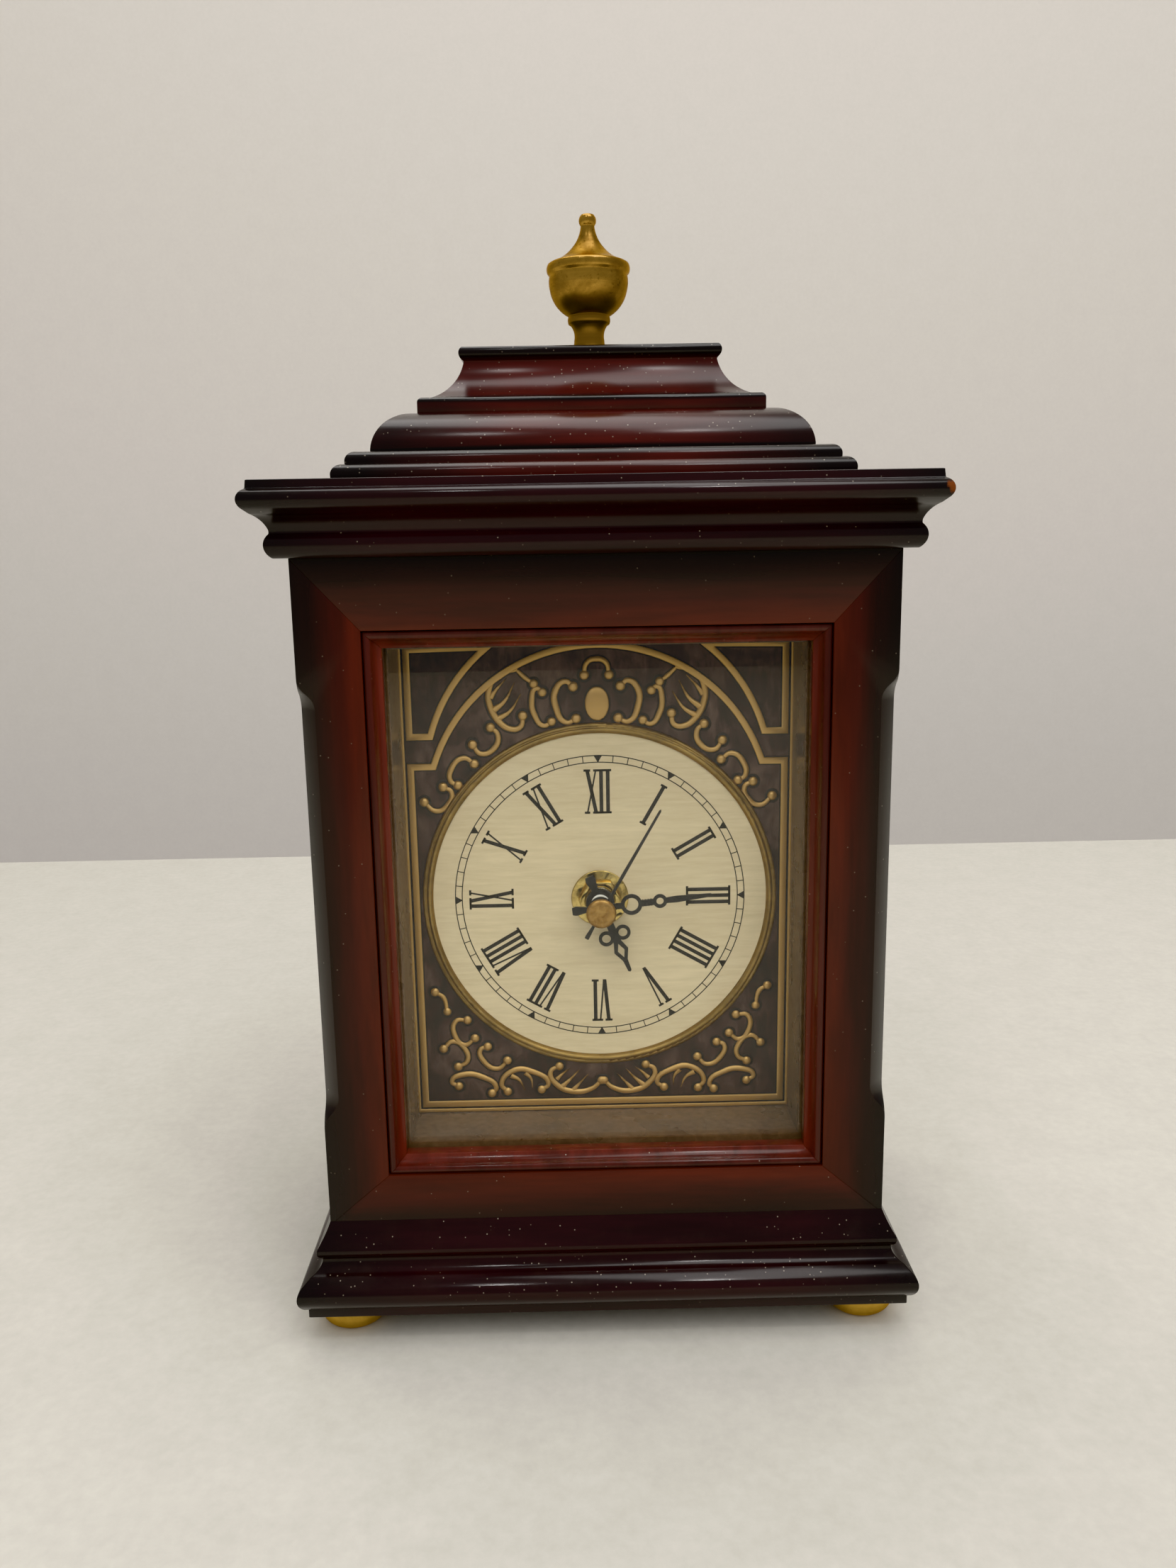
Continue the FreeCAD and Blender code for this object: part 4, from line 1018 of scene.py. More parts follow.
@dataclass
class CastPlate:
    """The dial plate with its raised borders, arch, panels and scrollwork.

    Attributes:
        centre_height: Height of the dial centre, mm.
        ground: Depth of the plate's face, mm.
        flatness: Height of the relief as a share of its half width.
        edge: Half width of the inner border's outer line, mm.
        weight: How much heavier the relief is than its drawn widths.
        height: Height of the borders, mm.
        wash: How far the dark wash reaches beyond the borders, mm.
        wash_height: Height of the dark wash round the borders, mm.
        scroll_wash: How much heavier the wash round the scrolls is than the scrolls.
        scroll_wash_flatness: Height of that wash as a share of its half width.
        boss_height: Height of the oval boss over the dial centre, mm.
        boss_size: Half sizes of the boss across, deep and up, mm.
        boss_wash: Size of the wash round the boss as a share of the boss.
        lift: How far the relief is set into the plate's face, mm.
        corner: Edges of the borders sharper than this are rounded, radians.
        top: Height of the corner panels' upper line, mm.
        foot: Height of the inner border's lower line, mm.
        shoulder: Height at which the inner border turns in to the arch, mm.
        panel_low: Height of the corner panels' lower line, mm.
        panel_turns: How far from the middle the arc of a panel starts and ends, mm.
        arch_radius: Radius of the arch and of the panels' arcs, mm.
        arch_centre: Height of the arch's centre, mm.
        panel_centre: Height of the centre of the panels' arcs, mm.
        outer: Half width, lower and upper height of the outer border, mm.
        border: Width of the inner border and the panels, mm.
        outer_line: Width of the outer border, mm.
    """

    centre_height: float = DIAL_HEIGHT
    ground: float = PLATE_FACE
    flatness: float = 0.62
    edge: float = 51.9
    weight: float = 1.3
    height: float = 0.6
    wash: float = 0.35
    wash_height: float = 0.08
    scroll_wash: float = 0.75
    scroll_wash_flatness: float = 0.07
    boss_height: float = 55.3
    boss_size: tuple[float, float, float] = (3.4, 1.1, 4.8)
    boss_wash: float = 1.15
    lift: float = 0.02
    corner: float = 0.8
    top: float = 71.0
    foot: float = -61.9
    shoulder: float = 38.5
    panel_low: float = 46.9
    panel_turns: tuple[float, float] = (46.0, 29.5)
    arch_radius: float = 48.0
    arch_centre: float = 23.5
    panel_centre: float = 33.7
    outer: tuple[float, float, float] = (53.9, -63.9, 72.6)
    border: float = 1.85
    outer_line: float = 1.0

    def borders(self) -> list[Strand]:
        """Straight and arched borders."""
        edge, radius = self.edge, self.arch_radius
        reach = math.sqrt(radius ** 2 - (self.shoulder - self.arch_centre) ** 2)
        middle = (0.0, self.arch_centre)
        arch = arc(middle, radius, angle_at(middle, (-reach, self.shoulder)), 90.0, 20)
        left = ((0.0, self.foot), (-edge, self.foot), (-edge, self.shoulder),
                (-reach, self.shoulder)) + arch[1:]
        lower = left + tuple((-across, up) for across, up in reversed(left[1:-1]))
        middle = (0.0, self.panel_centre)
        low_turn, high_turn = self.panel_turns
        bow = arc(middle, radius, angle_at(middle, (-low_turn, self.panel_low)),
                  angle_at(middle, (-high_turn, self.top)), 10)
        panel = ((-edge, self.panel_low),) + bow + ((-edge, self.top),)
        side, low, high = self.outer
        outer = ((-side, low), (side, low), (side, high), (-side, high))
        return [Strand(lower, self.border, mirrored=False), Strand(panel, self.border),
                Strand(outer, self.outer_line, mirrored=False)]

    def crest(self) -> list[Strand]:
        """Boss, C scrolls and leaves over the dial."""
        top = ((-3.4, 63.2), (-2.6, 66.6), (0.0, 67.6), (2.6, 66.6), (3.4, 63.2))
        return [
            Strand(top, 1.3, SCROLL_ENDS, (1.05, 1.05), mirrored=False),
            scroll((-6.5, 60.1), (-8.6, 61.6), (-11.3, 59.2), (-11.3, 54.4), (-8.6, 50.2), (-5.8, 51.2),
                   width=1.5, balls=(1.1, 1.1)),
            scroll((-15.0, 58.7), (-16.6, 59.8), (-17.9, 56.6), (-17.2, 52.4), (-14.8, 49.4),
                   (-12.6, 50.5), width=1.35),
            Strand(((-21.6, 65.1), (-27.2, 63.4), (-29.7, 59.0), (-29.5, 55.5), (-27.4, 51.2),
                    (-24.0, 48.7), (-21.2, 49.2), (-20.5, 52.3)), 1.5, (0.6, 0.7), (0.0, 1.05)),
            Strand(((-21.6, 64.7), (-19.6, 62.8), (-17.3, 61.1)), 1.1, (0.8, 0.7), (0.0, 1.0)),
            leaf((-28.4, 54.0), (-25.4, 56.4), (-22.6, 61.4), width=1.5),
            leaf((-27.2, 51.6), (-24.0, 53.6), (-20.8, 58.4), width=1.4),
            leaf((-29.2, 57.4), (-27.6, 59.6), (-24.6, 62.8)),
        ]

    def spandrels(self) -> list[Strand]:
        """Scrolls that run down beside the dial, and the corners under it."""
        large = (1.05, 1.05)
        return [
            scroll((-29.5, 49.2), (-27.6, 47.4), (-28.4, 43.6), (-32.4, 41.9), (-34.6, 44.5),
                   width=1.35, balls=large),
            scroll((-34.3, 39.1), (-37.2, 40.8), (-40.8, 37.6), (-41.0, 34.4), (-39.0, 33.1),
                   width=1.35, balls=large),
            scroll((-43.2, 32.7), (-40.9, 31.2), (-42.0, 27.6), (-45.4, 25.9), (-48.6, 28.5),
                   width=1.35, balls=large),
            scroll((-47.9, -27.4), (-45.6, -29.0), (-44.6, -33.4), width=1.2, balls=(1.0, 0.95)),
            scroll((-38.9, -36.1), (-42.3, -36.4), (-42.6, -41.0), (-40.0, -43.7), (-36.9, -41.7)),
            scroll((-46.1, -44.8), (-43.4, -42.6), (-39.8, -45.2), (-39.4, -48.8), (-42.1, -50.4)),
            scroll((-33.3, -44.4), (-35.5, -45.4), (-34.6, -48.9), (-30.6, -51.3), (-27.7, -48.8)),
            scroll((-42.1, -56.5), (-44.1, -55.0), (-40.6, -52.9), (-35.4, -53.7), (-31.2, -57.2),
                   (-32.5, -58.9), width=1.4),
            scroll((-27.9, -58.5), (-29.6, -56.2), (-25.8, -51.9), (-20.4, -52.5), (-15.9, -56.4),
                   (-17.9, -58.1), width=1.4),
            leaf((-26.8, -53.6), (-24.4, -55.0), (-22.8, -58.4)),
            leaf((-22.6, -52.8), (-21.0, -54.6), (-20.6, -57.6), width=1.2),
            scroll((-12.6, -50.9), (-15.2, -52.6), (-13.6, -56.6), (-8.3, -59.0), (-3.0, -58.0),
                   (-0.4, -55.6), width=1.4, balls=(1.0, 0.95)),
            leaf((-11.8, -57.2), (-9.6, -55.2), (-6.8, -52.2)),
            leaf((-8.6, -58.4), (-6.8, -56.4), (-4.2, -53.6), width=1.2),
            leaf((-13.4, -55.0), (-11.8, -53.4), (-9.4, -51.6), width=1.1),
        ]

    def tube(self, strand: Strand, weight: float) -> bpy.types.Mesh:
        """Make a strand as a round bar in the flat of the dial.

        Args:
            strand: The strand.
            weight: How much heavier it is than its drawn width.

        Returns:
            The new mesh.
        """
        curve = bpy.data.curves.new("strand", "CURVE")
        curve.dimensions = "3D"
        curve.bevel_depth = strand.width / 2 * weight * MM
        curve.bevel_resolution = 2
        curve.resolution_u = 6
        curve.use_fill_caps = True
        points = curve.splines.new("BEZIER").bezier_points
        last = len(strand.path) - 1
        points.add(last)
        for index, (point, (across, up)) in enumerate(zip(points, strand.path)):
            point.co = mm(across, 0.0, up)
            point.radius = strand.girth(index / last)
            point.handle_left_type = point.handle_right_type = "AUTO"
        holder = bpy.data.objects.new("strand", curve)
        mesh = bpy.data.meshes.new_from_object(holder)
        bpy.data.objects.remove(holder)
        bpy.data.curves.remove(curve)
        return mesh

    def add_strand(self, bm: bmesh.types.BMesh, strand: Strand, weight: float) -> None:
        """Add a strand with its end balls, and its twin if it has one.

        Args:
            bm: The mesh it joins.
            strand: The strand.
            weight: How much heavier it is than its drawn width.
        """
        first = len(bm.verts)
        mesh = self.tube(strand, weight)
        bm.from_mesh(mesh)
        bpy.data.meshes.remove(mesh)
        for radius, (across, up) in zip(strand.balls, (strand.path[0], strand.path[-1])):
            if radius:
                bmesh.ops.create_uvsphere(bm, u_segments=14, v_segments=8, radius=radius * weight * MM,
                                          matrix=Matrix.Translation(mm(across, 0.0, up)))
        if strand.mirrored:
            self.mirror(bm, first)

    def mirror(self, bm: bmesh.types.BMesh, first: int) -> None:
        """Add a twin on the other side of the dial.

        Args:
            bm: The mesh it joins.
            first: Index of the first vertex that gets a twin.
        """
        bm.verts.ensure_lookup_table()
        own = bm.verts[first:]
        faces = list({face for vert in own for face in vert.link_faces})
        twin = bmesh.ops.duplicate(bm, geom=own + faces)["geom"]
        verts = [item for item in twin if isinstance(item, bmesh.types.BMVert)]
        bmesh.ops.scale(bm, vec=(-1.0, 1.0, 1.0), verts=verts)
        bmesh.ops.reverse_faces(bm, faces=[item for item in twin if isinstance(item, bmesh.types.BMFace)])

    def add_band(self, bm: bmesh.types.BMesh, strand: Strand, grow: float, height: float,
                 ease: float) -> None:
        """Add a flat closed bar that follows a path, and its twin if it has one.

        Args:
            bm: The mesh it joins.
            strand: Its path and width.
            grow: How much wider it is on each side, mm.
            height: How far it stands up, mm.
            ease: Rounding of its upper edges, mm.
        """
        band = bmesh.new()
        loop = [band.verts.new(mm(across, 0.0, up)) for across, up in strand.path]
        sheet = band.faces.new(loop)
        sheet.normal_update()
        half = (strand.width / 2 + grow) * MM
        even = dict(use_even_offset=True, use_boundary=True)
        skirt = bmesh.ops.inset_region(band, faces=[sheet], thickness=-half, **even)
        bmesh.ops.delete(band, geom=skirt["faces"], context="FACES")
        wide = list(band.faces)
        bmesh.ops.inset_region(band, faces=wide, thickness=2 * half, **even)
        bmesh.ops.delete(band, geom=wide, context="FACES")
        raised = bmesh.ops.extrude_face_region(band, geom=list(band.faces), use_keep_orig=True)["geom"]
        top = [item for item in raised if isinstance(item, bmesh.types.BMVert)]
        bmesh.ops.translate(band, vec=mm(0.0, -height, 0.0), verts=top)
        bmesh.ops.recalc_face_normals(band, faces=band.faces)
        edges = [edge for edge in band.edges if edge.verts[0] in top and edge.verts[1] in top
                 and edge.calc_face_angle(0.0) > self.corner]
        if ease:
            bmesh.ops.bevel(band, geom=edges, offset=ease * MM, segments=2, profile=0.5,
                            affect="EDGES", material=-1)
        first = len(bm.verts)
        made = bpy.data.meshes.new("band")
        band.to_mesh(made)
        band.free()
        bm.from_mesh(made)
        bpy.data.meshes.remove(made)
        if strand.mirrored:
            self.mirror(bm, first)

    def settle(self, name: str, bm: bmesh.types.BMesh, finish: Finish, crease: float) -> None:
        """Set a part of the relief on the plate.

        Args:
            name: Name of the piece.
            bm: Its mesh, in the flat of the dial.
            finish: Its finish.
            crease: Edges sharper than this stay crisp, degrees.
        """
        bmesh.ops.translate(bm, vec=mm(0.0, self.ground + self.lift, self.centre_height), verts=bm.verts)
        piece(name, bm, finish, "case", "dial_plate_gilt", crease=crease)

    def bands(self, name: str, finish: Finish, grow: float, height: float, ease: float) -> None:
        """Make the borders as flat bars.

        Args:
            name: Name of the piece.
            finish: Its finish.
            grow: How much wider the bars are on each side, mm.
            height: How far they stand up, mm.
            ease: Rounding of their upper edges, mm.
        """
        bm = bmesh.new()
        for strand in self.borders():
            self.add_band(bm, strand, grow, height, ease)
        self.settle(name, bm, finish, 50.0)

    def relief(self, name: str, strands: list[Strand], finish: Finish, weight: float, flatness: float,
               boss: float = 0.0) -> None:
        """Make a part of the scrollwork.

        Args:
            name: Name of the piece.
            strands: Its lines.
            finish: Its finish.
            weight: How much heavier it is than its drawn widths.
            flatness: Height of the relief as a share of its half width.
            boss: Size of the oval boss as a share of its full size, or 0 for none.
        """
        bm = bmesh.new()
        for strand in strands:
            self.add_strand(bm, strand, weight)
        if boss:
            across, deep, up = self.boss_size
            shape = (Matrix.Translation(mm(0.0, 0.0, self.boss_height))
                     @ Matrix.Diagonal((across * boss, deep, up * boss, 1.0)))
            bmesh.ops.create_uvsphere(bm, u_segments=28, v_segments=16, radius=MM, matrix=shape)
        bmesh.ops.scale(bm, vec=(1.0, flatness, 1.0), verts=bm.verts)
        self.settle(name, bm, finish, 60.0)

    def build(self) -> None:
        """Dress the plate and ring, and set the relief on it."""
        dress(PLATE_PATINA, "dial_plate")
        eased_piece("dial_ring", RING_GILT, "case", "dial_plate_gilt", 0.05, 1, 60.0)
        self.bands("dial_plate_borders", RELIEF, 0.0, self.height, 0.2)
        self.bands("dial_plate_border_wash", WASH, self.wash, self.wash_height, 0.0)
        crest, spandrels = self.crest(), self.spandrels()
        self.relief("dial_plate_crest", crest, RELIEF, self.weight, self.flatness, 1.0)
        self.relief("dial_plate_spandrels", spandrels, RELIEF, self.weight, self.flatness)
        self.relief("dial_plate_scroll_wash", crest + spandrels, WASH, self.weight + self.scroll_wash,
                    self.scroll_wash_flatness, self.boss_wash)


NUMERALS = ("XII", "I", "II", "III", "IIII", "V", "VI", "VII", "VIII", "IX", "X", "XI")


@dataclass
class PrintedDial:
    """The dial sheet with its minute track and numerals.

    Attributes:
        centre_height: Height of the dial centre, mm.
        face: Depth of the sheet's face, mm.
        ink: How far the print stands off the sheet, mm.
        sink: How far the print reaches into the sheet, mm.
        track: Outer and inner radius of the minute track, mm.
        numeral_low: Radius of the numerals' feet, mm.
        numeral_high: Radius of the numerals' heads, mm.
        bar: Width of a thick stroke, mm.
        hair: Width of a thin stroke, mm.
        serif_width: Height of a serif, mm.
        pitch: Distance between the bars of a numeral, mm.
        wide: Room that a V or an X takes in a numeral, mm.
        lean: How far the strokes of an X lean to each side, mm.
        spread: How far the heads of a V's thick and thin strokes stand from its foot, mm.
        thin_foot: How far the thin stroke of a V starts from its foot, mm.
        serif_over: How much longer a serif is than a thick stroke is wide, mm.
        thin_serif: Length of a serif on a thin stroke, mm.
        wide_serif: Length of a serif on the thick stroke of an X, mm.
        ring_line: Width of the track's circles, mm.
        tick: Width of a minute tick, mm.
        mark: Radius of an hour mark, mm.
        mark_sink: How far an hour mark's middle is inside the track, mm.
    """

    centre_height: float = DIAL_HEIGHT
    face: float = -26.3
    ink: float = 0.05
    sink: float = 0.03
    track: tuple[float, float] = (40.9, 39.0)
    numeral_low: float = 24.4
    numeral_high: float = 37.0
    bar: float = 1.04
    hair: float = 0.46
    serif_width: float = 0.62
    pitch: float = 1.85
    wide: float = 3.5
    lean: float = 1.25
    spread: tuple[float, float] = (1.15, 1.3)
    thin_foot: float = 0.2
    serif_over: float = 0.95
    thin_serif: float = 1.5
    wide_serif: float = 1.9
    ring_line: float = 0.27
    tick: float = 0.24
    mark: float = 1.3
    mark_sink: float = 0.75

    def bar_between(self, bm: bmesh.types.BMesh, turn: Matrix, foot: Point, head: Point,
                    width: float) -> None:
        """Add a slanted bar whose ends are level.

        Args:
            bm: The print.
            turn: Turn of the numeral round the dial.
            foot: Middle of its lower end, mm.
            head: Middle of its upper end, mm.
            width: Its width, mm.
        """
        shape = Matrix(((width, head[0] - foot[0], 0, (head[0] + foot[0]) / 2),
                        (0, head[1] - foot[1], 0, (head[1] + foot[1]) / 2),
                        (0, 0, 1, 0), (0, 0, 0, 1)))
        bmesh.ops.create_grid(bm, x_segments=1, y_segments=1, size=0.5, matrix=turn @ shape)

    def serif(self, bm: bmesh.types.BMesh, turn: Matrix, across: float, up: float, length: float) -> None:
        """Add a level hairline across the end of a stroke.

        Args:
            bm: The print.
            turn: Turn of the numeral round the dial.
            across: Middle of the stroke's end, mm.
            up: Height of the stroke's end, mm.
            length: Length of the serif, mm.
        """
        half = self.serif_width / 2
        middle = up + (half if up < self.numeral_high - 1 else -half)
        self.bar_between(bm, turn, (across, middle - half), (across, middle + half), length)

    def letter(self, bm: bmesh.types.BMesh, turn: Matrix, shape: str, at: float) -> None:
        """Add one I, V or X.

        Args:
            bm: The print.
            turn: Turn of the numeral round the dial.
            shape: Which of the three it is.
            at: Its middle along the numeral, mm.
        """
        low, high, lean = self.numeral_low, self.numeral_high, self.lean
        thick, thin = self.wide_serif, self.thin_serif
        if shape == "I":
            self.bar_between(bm, turn, (at, low), (at, high), self.bar)
            for up in (low, high):
                self.serif(bm, turn, at, up, self.bar + self.serif_over)
        if shape == "V":
            left, right = at - self.spread[0], at + self.spread[1]
            self.bar_between(bm, turn, (at, low), (left, high), self.bar)
            self.bar_between(bm, turn, (at + self.thin_foot, low), (right, high), self.hair)
            self.serif(bm, turn, left, high, self.bar + 1.0)
            self.serif(bm, turn, right, high, thin)
        if shape == "X":
            self.bar_between(bm, turn, (at + lean, low), (at - lean, high), self.bar)
            self.bar_between(bm, turn, (at - lean, low), (at + lean, high), self.hair)
            for side, up, length in ((-1, high, thick), (1, low, thick), (1, high, thin), (-1, low, thin)):
                self.serif(bm, turn, at + side * lean, up, length)

    def numeral(self, bm: bmesh.types.BMesh, hour: int, letters: str) -> None:
        """Add a numeral that stands on the line from the centre to its hour.

        Args:
            bm: The print.
            hour: Its hour, from 0 for the top.
            letters: Its letters.
        """
        widths = {"I": self.pitch, "V": self.wide, "X": self.wide}
        turn = Matrix.Rotation(math.radians(-30 * hour), 4, "Z")
        at = -sum(widths[shape] for shape in letters) / 2
        for shape in letters:
            self.letter(bm, turn, shape, at + widths[shape] / 2)
            at += widths[shape]

    def ring(self, bm: bmesh.types.BMesh, radius: float, width: float) -> None:
        """Add a thin circle.

        Args:
            bm: The print.
            radius: Radius of its middle, mm.
            width: Its width, mm.
        """
        loops = []
        for edge in (radius - width / 2, radius + width / 2):
            made = bmesh.ops.create_circle(bm, cap_ends=False, segments=180, radius=edge)
            loops += list({link for vert in made["verts"] for link in vert.link_edges})
        bmesh.ops.bridge_loops(bm, edges=loops)

    def minute_track(self, bm: bmesh.types.BMesh) -> None:
        """Two circles, sixty ticks and twelve hour marks."""
        outer, inner = self.track
        for radius in self.track:
            self.ring(bm, radius, self.ring_line)
        for minute in range(60):
            turn = Matrix.Rotation(math.radians(6 * minute), 4, "Z")
            self.bar_between(bm, turn, (0.0, inner), (0.0, outer), self.tick)
        for hour in range(12):
            turn = Matrix.Rotation(math.radians(30 * hour), 4, "Z")
            place = turn @ Matrix.Translation((0.0, outer - self.mark_sink, 0.0))
            bmesh.ops.create_circle(bm, cap_ends=True, segments=3, radius=self.mark,
                                    matrix=place @ Matrix.Rotation(math.pi, 4, "Z"))

    def build(self) -> None:
        """Dress the sheet and print it."""
        dress(DIAL_SHEET, "dial_disc")
        bm = bmesh.new()
        self.minute_track(bm)
        for hour, letters in enumerate(NUMERALS):
            self.numeral(bm, hour, letters)
        for face in bm.faces:
            if face.normal.z < 0:
                face.normal_flip()
        grown = bmesh.ops.extrude_face_region(bm, geom=list(bm.faces), use_keep_orig=True)["geom"]
        lifted = [item for item in grown if isinstance(item, bmesh.types.BMVert)]
        bmesh.ops.translate(bm, vec=(0.0, 0.0, -(self.ink + self.sink)), verts=lifted)
        bmesh.ops.scale(bm, vec=(MM, MM, MM), verts=bm.verts)
        bmesh.ops.rotate(bm, matrix=Matrix.Rotation(math.radians(90), 3, "X"), verts=bm.verts)
        bmesh.ops.translate(bm, vec=mm(0.0, self.face - self.ink, self.centre_height), verts=bm.verts)
        bmesh.ops.recalc_face_normals(bm, faces=bm.faces)
        piece("dial_print", bm, PRINT, "case", "hand_black", crease=20.0)


@dataclass
class Glazed:
    """The glass pane and the liner between it and the dial."""

    def build(self) -> None:
        """Dress the glass and its liner."""
        dress(GLASS, "glass_pane")
        dress(LINER_PAINT, "dial_liner")


# --------------------------------------------------------------------------- works
@dataclass
class Hands:
    """Pierced hands, their cap, and the fixings in the middle of the dial.

    Attributes:
        centre_height: Height of the dial centre, mm.
        minute_turn: Where the minute hand points, degrees from twelve.
        minute_front: Depth of the front of the minute hand, mm.
        beads: How many beads the minute hand's neck has.
        bead_start: Distance of the first bead from the centre, mm.
        bead_pitch: Distance between two beads, mm.
        bead_size: Half sizes of a bead across, deep and along the hand, mm.
        bead_sink: How far a bead's middle is behind the hand's front, mm.
        edge: Rounding of the hands, mm.
        nut_edge: Chamfer of the nut, mm.
        washer_edge: Rounding of the washer, mm.
    """

    centre_height: float = DIAL_HEIGHT
    minute_turn: float = 84.0
    minute_front: float = -36.8
    beads: int = 4
    bead_start: float = 11.65
    bead_pitch: float = 0.78
    bead_size: tuple[float, float, float] = (1.12, 0.30, 0.34)
    bead_sink: float = 0.25
    edge: float = 0.09
    nut_edge: float = 0.6
    washer_edge: float = 0.28

    def ridges(self) -> None:
        """Make the beads across the neck of the minute hand."""
        bm = bmesh.new()
        for step in range(self.beads):
            at = Matrix.Translation((0.0, 0.0, self.bead_start + self.bead_pitch * step))
            bmesh.ops.create_uvsphere(bm, u_segments=16, v_segments=8, radius=1.0,
                                      matrix=at @ Matrix.Diagonal((*self.bead_size, 1.0)))
        bmesh.ops.scale(bm, vec=(MM, MM, MM), verts=bm.verts)
        bmesh.ops.rotate(bm, matrix=Matrix.Rotation(math.radians(self.minute_turn), 3, "Y"), verts=bm.verts)
        bmesh.ops.translate(bm, vec=mm(0.0, self.minute_front + self.bead_sink, self.centre_height),
                            verts=bm.verts)
        piece("minute_hand_beads", bm, HAND_BLACK, "minute_train", "hand_black", crease=60.0)

    def build(self) -> None:
        """Show the hands with softened edges and dress the fixings."""
        for hand, body in (("hour_hand", "hour_train"), ("minute_hand", "minute_train"),
                           ("second_hand", "seconds_train")):
            eased_piece(hand, HAND_BLACK, body, "hand_black", self.edge)
        self.ridges()
        eased_piece("hand_cap", CAP_BRASS, "seconds_train", "polished_brass", 0.1, 2, 50.0)
        eased_piece("mounting_nut", POLISHED, "case", "polished_brass", self.nut_edge, 3)
        eased_piece("mounting_washer", POLISHED, "case", "polished_brass", self.washer_edge, 3)
        eased_piece("threaded_bushing", BUSHING, "case", "polished_brass", 0.1, 1, 60.0)


@dataclass
class Movement:
    """The quartz movement behind the dial board.

    Attributes:
        housing_edge: Rounding of the housing, mm.
        cover_edge: Rounding of its cover, mm.
        knob_edge: Rounding of the setting knob, mm.
    """

    housing_edge: float = 0.15
    cover_edge: float = 0.12
    knob_edge: float = 0.1

    def build(self) -> None:
        """Dress the case, the wheels and the electrics."""
        eased_piece("movement_housing", CASE_PLASTIC, "case", "movement_plastic", self.housing_edge)
        eased_piece("movement_cover", CASE_PLASTIC, "case", "movement_plastic", self.cover_edge)
        eased_piece("setting_knob", CASE_PLASTIC, "setting_train", "movement_plastic", self.knob_edge)
        dress(GEAR_NYLON, "centre_wheel", "third_wheel", "seconds_wheel", "intermediate_wheel",
              "motion_wheel", "hour_wheel", "rotor")
        dress(STEEL, "stator_coil")
        dress(CIRCUIT, "circuit_and_contacts")
        dress(BATTERY_WRAP, "battery")


# --------------------------------------------------------------------------- studio
@dataclass(frozen=True)
class Panel:
    """A soft light that is aimed at the clock.

    Attributes:
        name: Its name.
        at: Where it hangs, metres.
        size: Its width and height, metres.
        power: Its power, W.
        mirrored: True if polished surfaces mirror it.
    """

    name: str
    at: tuple[float, float, float]
    size: tuple[float, float]
    power: float
    mirrored: bool = True


SPARK = (0.08, 0.08)
PANELS = (Panel("front_panel", (0.25, -1.3, 1.4), (2.8, 1.8), 24.0, False),
          Panel("top_panel", (0.1, 0.1, 1.9), (2.4, 1.0), 16.8),
          Panel("spark_lamp_0", (-0.35, -0.7, 1.5), SPARK, 0.8),
          Panel("spark_lamp_1", (0.35, -0.7, 1.5), SPARK, 0.8))


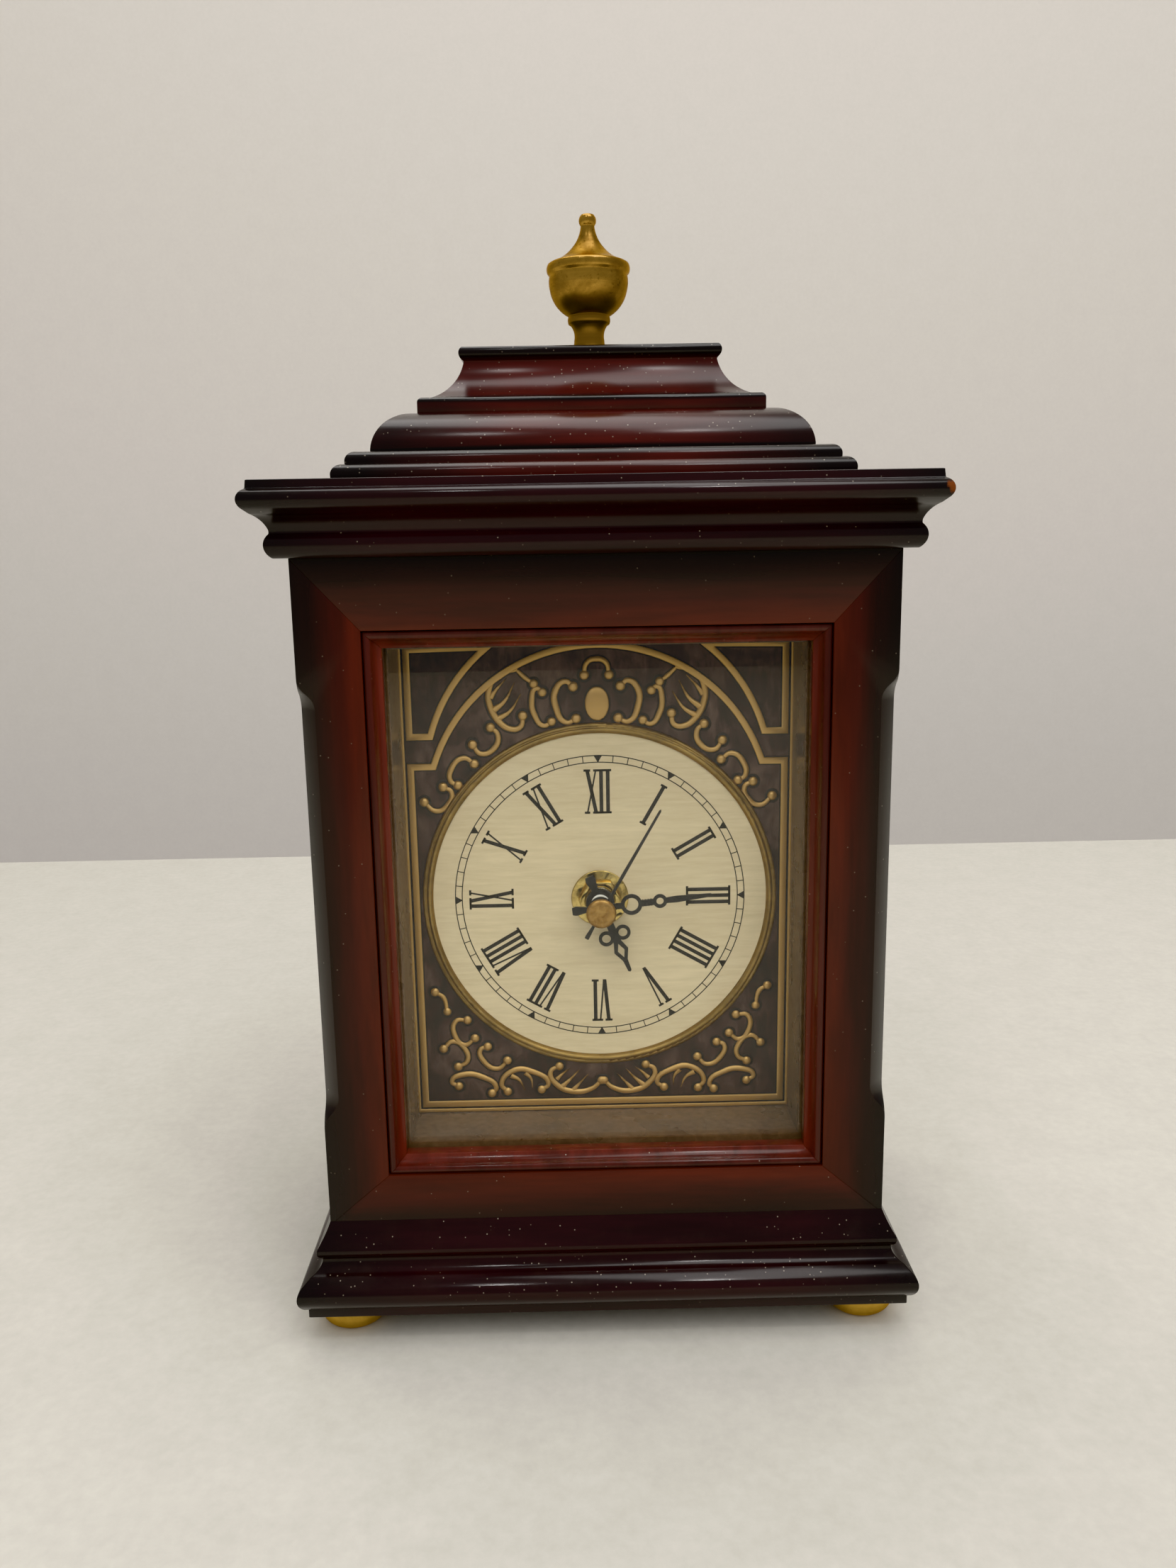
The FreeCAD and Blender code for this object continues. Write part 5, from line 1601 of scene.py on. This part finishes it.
@dataclass
class Studio:
    """Pale table and wall, soft lights and the camera; metres.

    Attributes:
        table_size: Width and depth of the table.
        table_edge: Distance of the table's far edge behind the clock.
        wall_size: Width and height of the wall.
        wall_middle: Distance of the wall behind the clock, and height of its middle.
        aim_height: Height that the lights are aimed at.
        lamp_colour: Colour of the lights.
        room_colour: Colour of the light that comes from all round.
        room_strength: Strength of the light that comes from all round.
        eye: Where the camera stands.
        turned: How far the camera is turned to the right, degrees.
        down: How far it looks down, degrees.
        roll: How far it leans, radians.
        lens: Focal length, mm.
        sensor: Width of the camera's sensor, mm.
    """

    table_size: tuple[float, float] = (6.0, 2.4)
    table_edge: float = 0.487
    wall_size: tuple[float, float] = (6.0, 6.0)
    wall_middle: tuple[float, float] = (0.9, 2.3)
    aim_height: float = 0.12
    lamp_colour: tuple[float, float, float] = (1.0, 0.985, 0.965)
    room_colour: Colour = (0.92, 0.90, 0.88, 1.0)
    room_strength: float = 0.42
    eye: tuple[float, float, float] = (-0.0064, -0.3541, 0.2139)
    turned: float = 0.625
    down: float = 11.073
    roll: float = -0.01741
    lens: float = 27.5
    sensor: float = 36.0

    def cloth(self, name: str, light: Colour, dark: Colour) -> bpy.types.Material:
        """A plain pale surface with a barely visible texture."""
        return Coat(name, light, dark, (0.8, 0.95), 260.0, 0.03).material()

    def plane(self, name: str, size: tuple[float, float], place: Matrix,
              material: bpy.types.Material) -> None:
        """Add a flat part of the setting.

        Args:
            name: Its name.
            size: Its width and depth.
            place: Where its middle is and how it is turned.
            material: Its material.
        """
        bm = bmesh.new()
        bmesh.ops.create_grid(bm, x_segments=1, y_segments=1, size=0.5,
                              matrix=place @ Matrix.Diagonal((*size, 1.0, 1.0)))
        mesh = bpy.data.meshes.new(name)
        bm.to_mesh(mesh)
        bm.free()
        mesh.materials.append(material)
        made = bpy.data.objects.new(name, mesh)
        bpy.context.scene.collection.objects.link(made)

    def lamp(self, panel: Panel) -> None:
        """Hang a light and aim it at the clock.

        Args:
            panel: The light.
        """
        data = bpy.data.lights.new(panel.name, "AREA")
        data.shape = "RECTANGLE"
        data.size, data.size_y = panel.size
        data.energy = panel.power
        data.color = self.lamp_colour
        lamp = bpy.data.objects.new(panel.name, data)
        lamp.location = Vector(panel.at)
        aim = Vector((0.0, 0.0, self.aim_height)) - lamp.location
        lamp.rotation_euler = aim.to_track_quat("-Z", "Y").to_euler()
        lamp.visible_glossy = panel.mirrored
        bpy.context.scene.collection.objects.link(lamp)

    def camera(self) -> None:
        """The camera at its height and angle."""
        data = bpy.data.cameras.new("camera")
        data.lens = self.lens
        data.sensor_width = self.sensor
        data.clip_start = 0.01
        yaw, down = math.radians(self.turned), math.radians(self.down)
        ahead = Vector((math.sin(yaw) * math.cos(down), math.cos(yaw) * math.cos(down), -math.sin(down)))
        right = Vector((math.cos(yaw), -math.sin(yaw), 0.0))
        up = right.cross(ahead)
        right, up = (right * math.cos(self.roll) + up * math.sin(self.roll),
                     up * math.cos(self.roll) - right * math.sin(self.roll))
        turn = Matrix((right, up, -ahead)).transposed().to_4x4()
        camera = bpy.data.objects.new("camera", data)
        camera.matrix_world = Matrix.Translation(self.eye) @ turn
        bpy.context.scene.collection.objects.link(camera)
        bpy.context.scene.camera = camera

    def room(self) -> None:
        """Light the room evenly from all round."""
        world = bpy.data.worlds.new("room")
        world.use_nodes = True
        background = world.node_tree.nodes["Background"]
        background.inputs["Color"].default_value = self.room_colour
        background.inputs["Strength"].default_value = self.room_strength
        bpy.context.scene.world = world

    def build(self) -> None:
        """Set out the table, wall, lights and camera."""
        table = self.cloth("table_white", srgb(220, 217, 208), srgb(210, 207, 198))
        wall = self.cloth("wall_grey", srgb(222, 217, 211), srgb(218, 213, 207))
        middle = Matrix.Translation((0.0, self.table_edge - self.table_size[1] / 2, 0.0))
        self.plane("table_top", self.table_size, middle, table)
        upright = Matrix.Translation((0.0, *self.wall_middle)) @ Matrix.Rotation(math.radians(90), 4, "X")
        self.plane("back_wall", self.wall_size, upright, wall)
        for panel in PANELS:
            self.lamp(panel)
        self.room()
        bpy.context.scene.view_settings.view_transform = "Khronos PBR Neutral"
        self.camera()


def main() -> None:
    """Build the clock's looks, assembly by assembly, and then the studio."""
    logging.basicConfig(level=logging.INFO, format="%(name)s: %(message)s")
    for assembly in (Carcass(), Mouldings(), Roof(), Brassware(), CastPlate(), PrintedDial(), Glazed(),
                     Hands(), Movement(), Studio()):
        LOG.info("building %s", type(assembly).__name__)
        assembly.build()


if __name__ == "__main__":
    main()
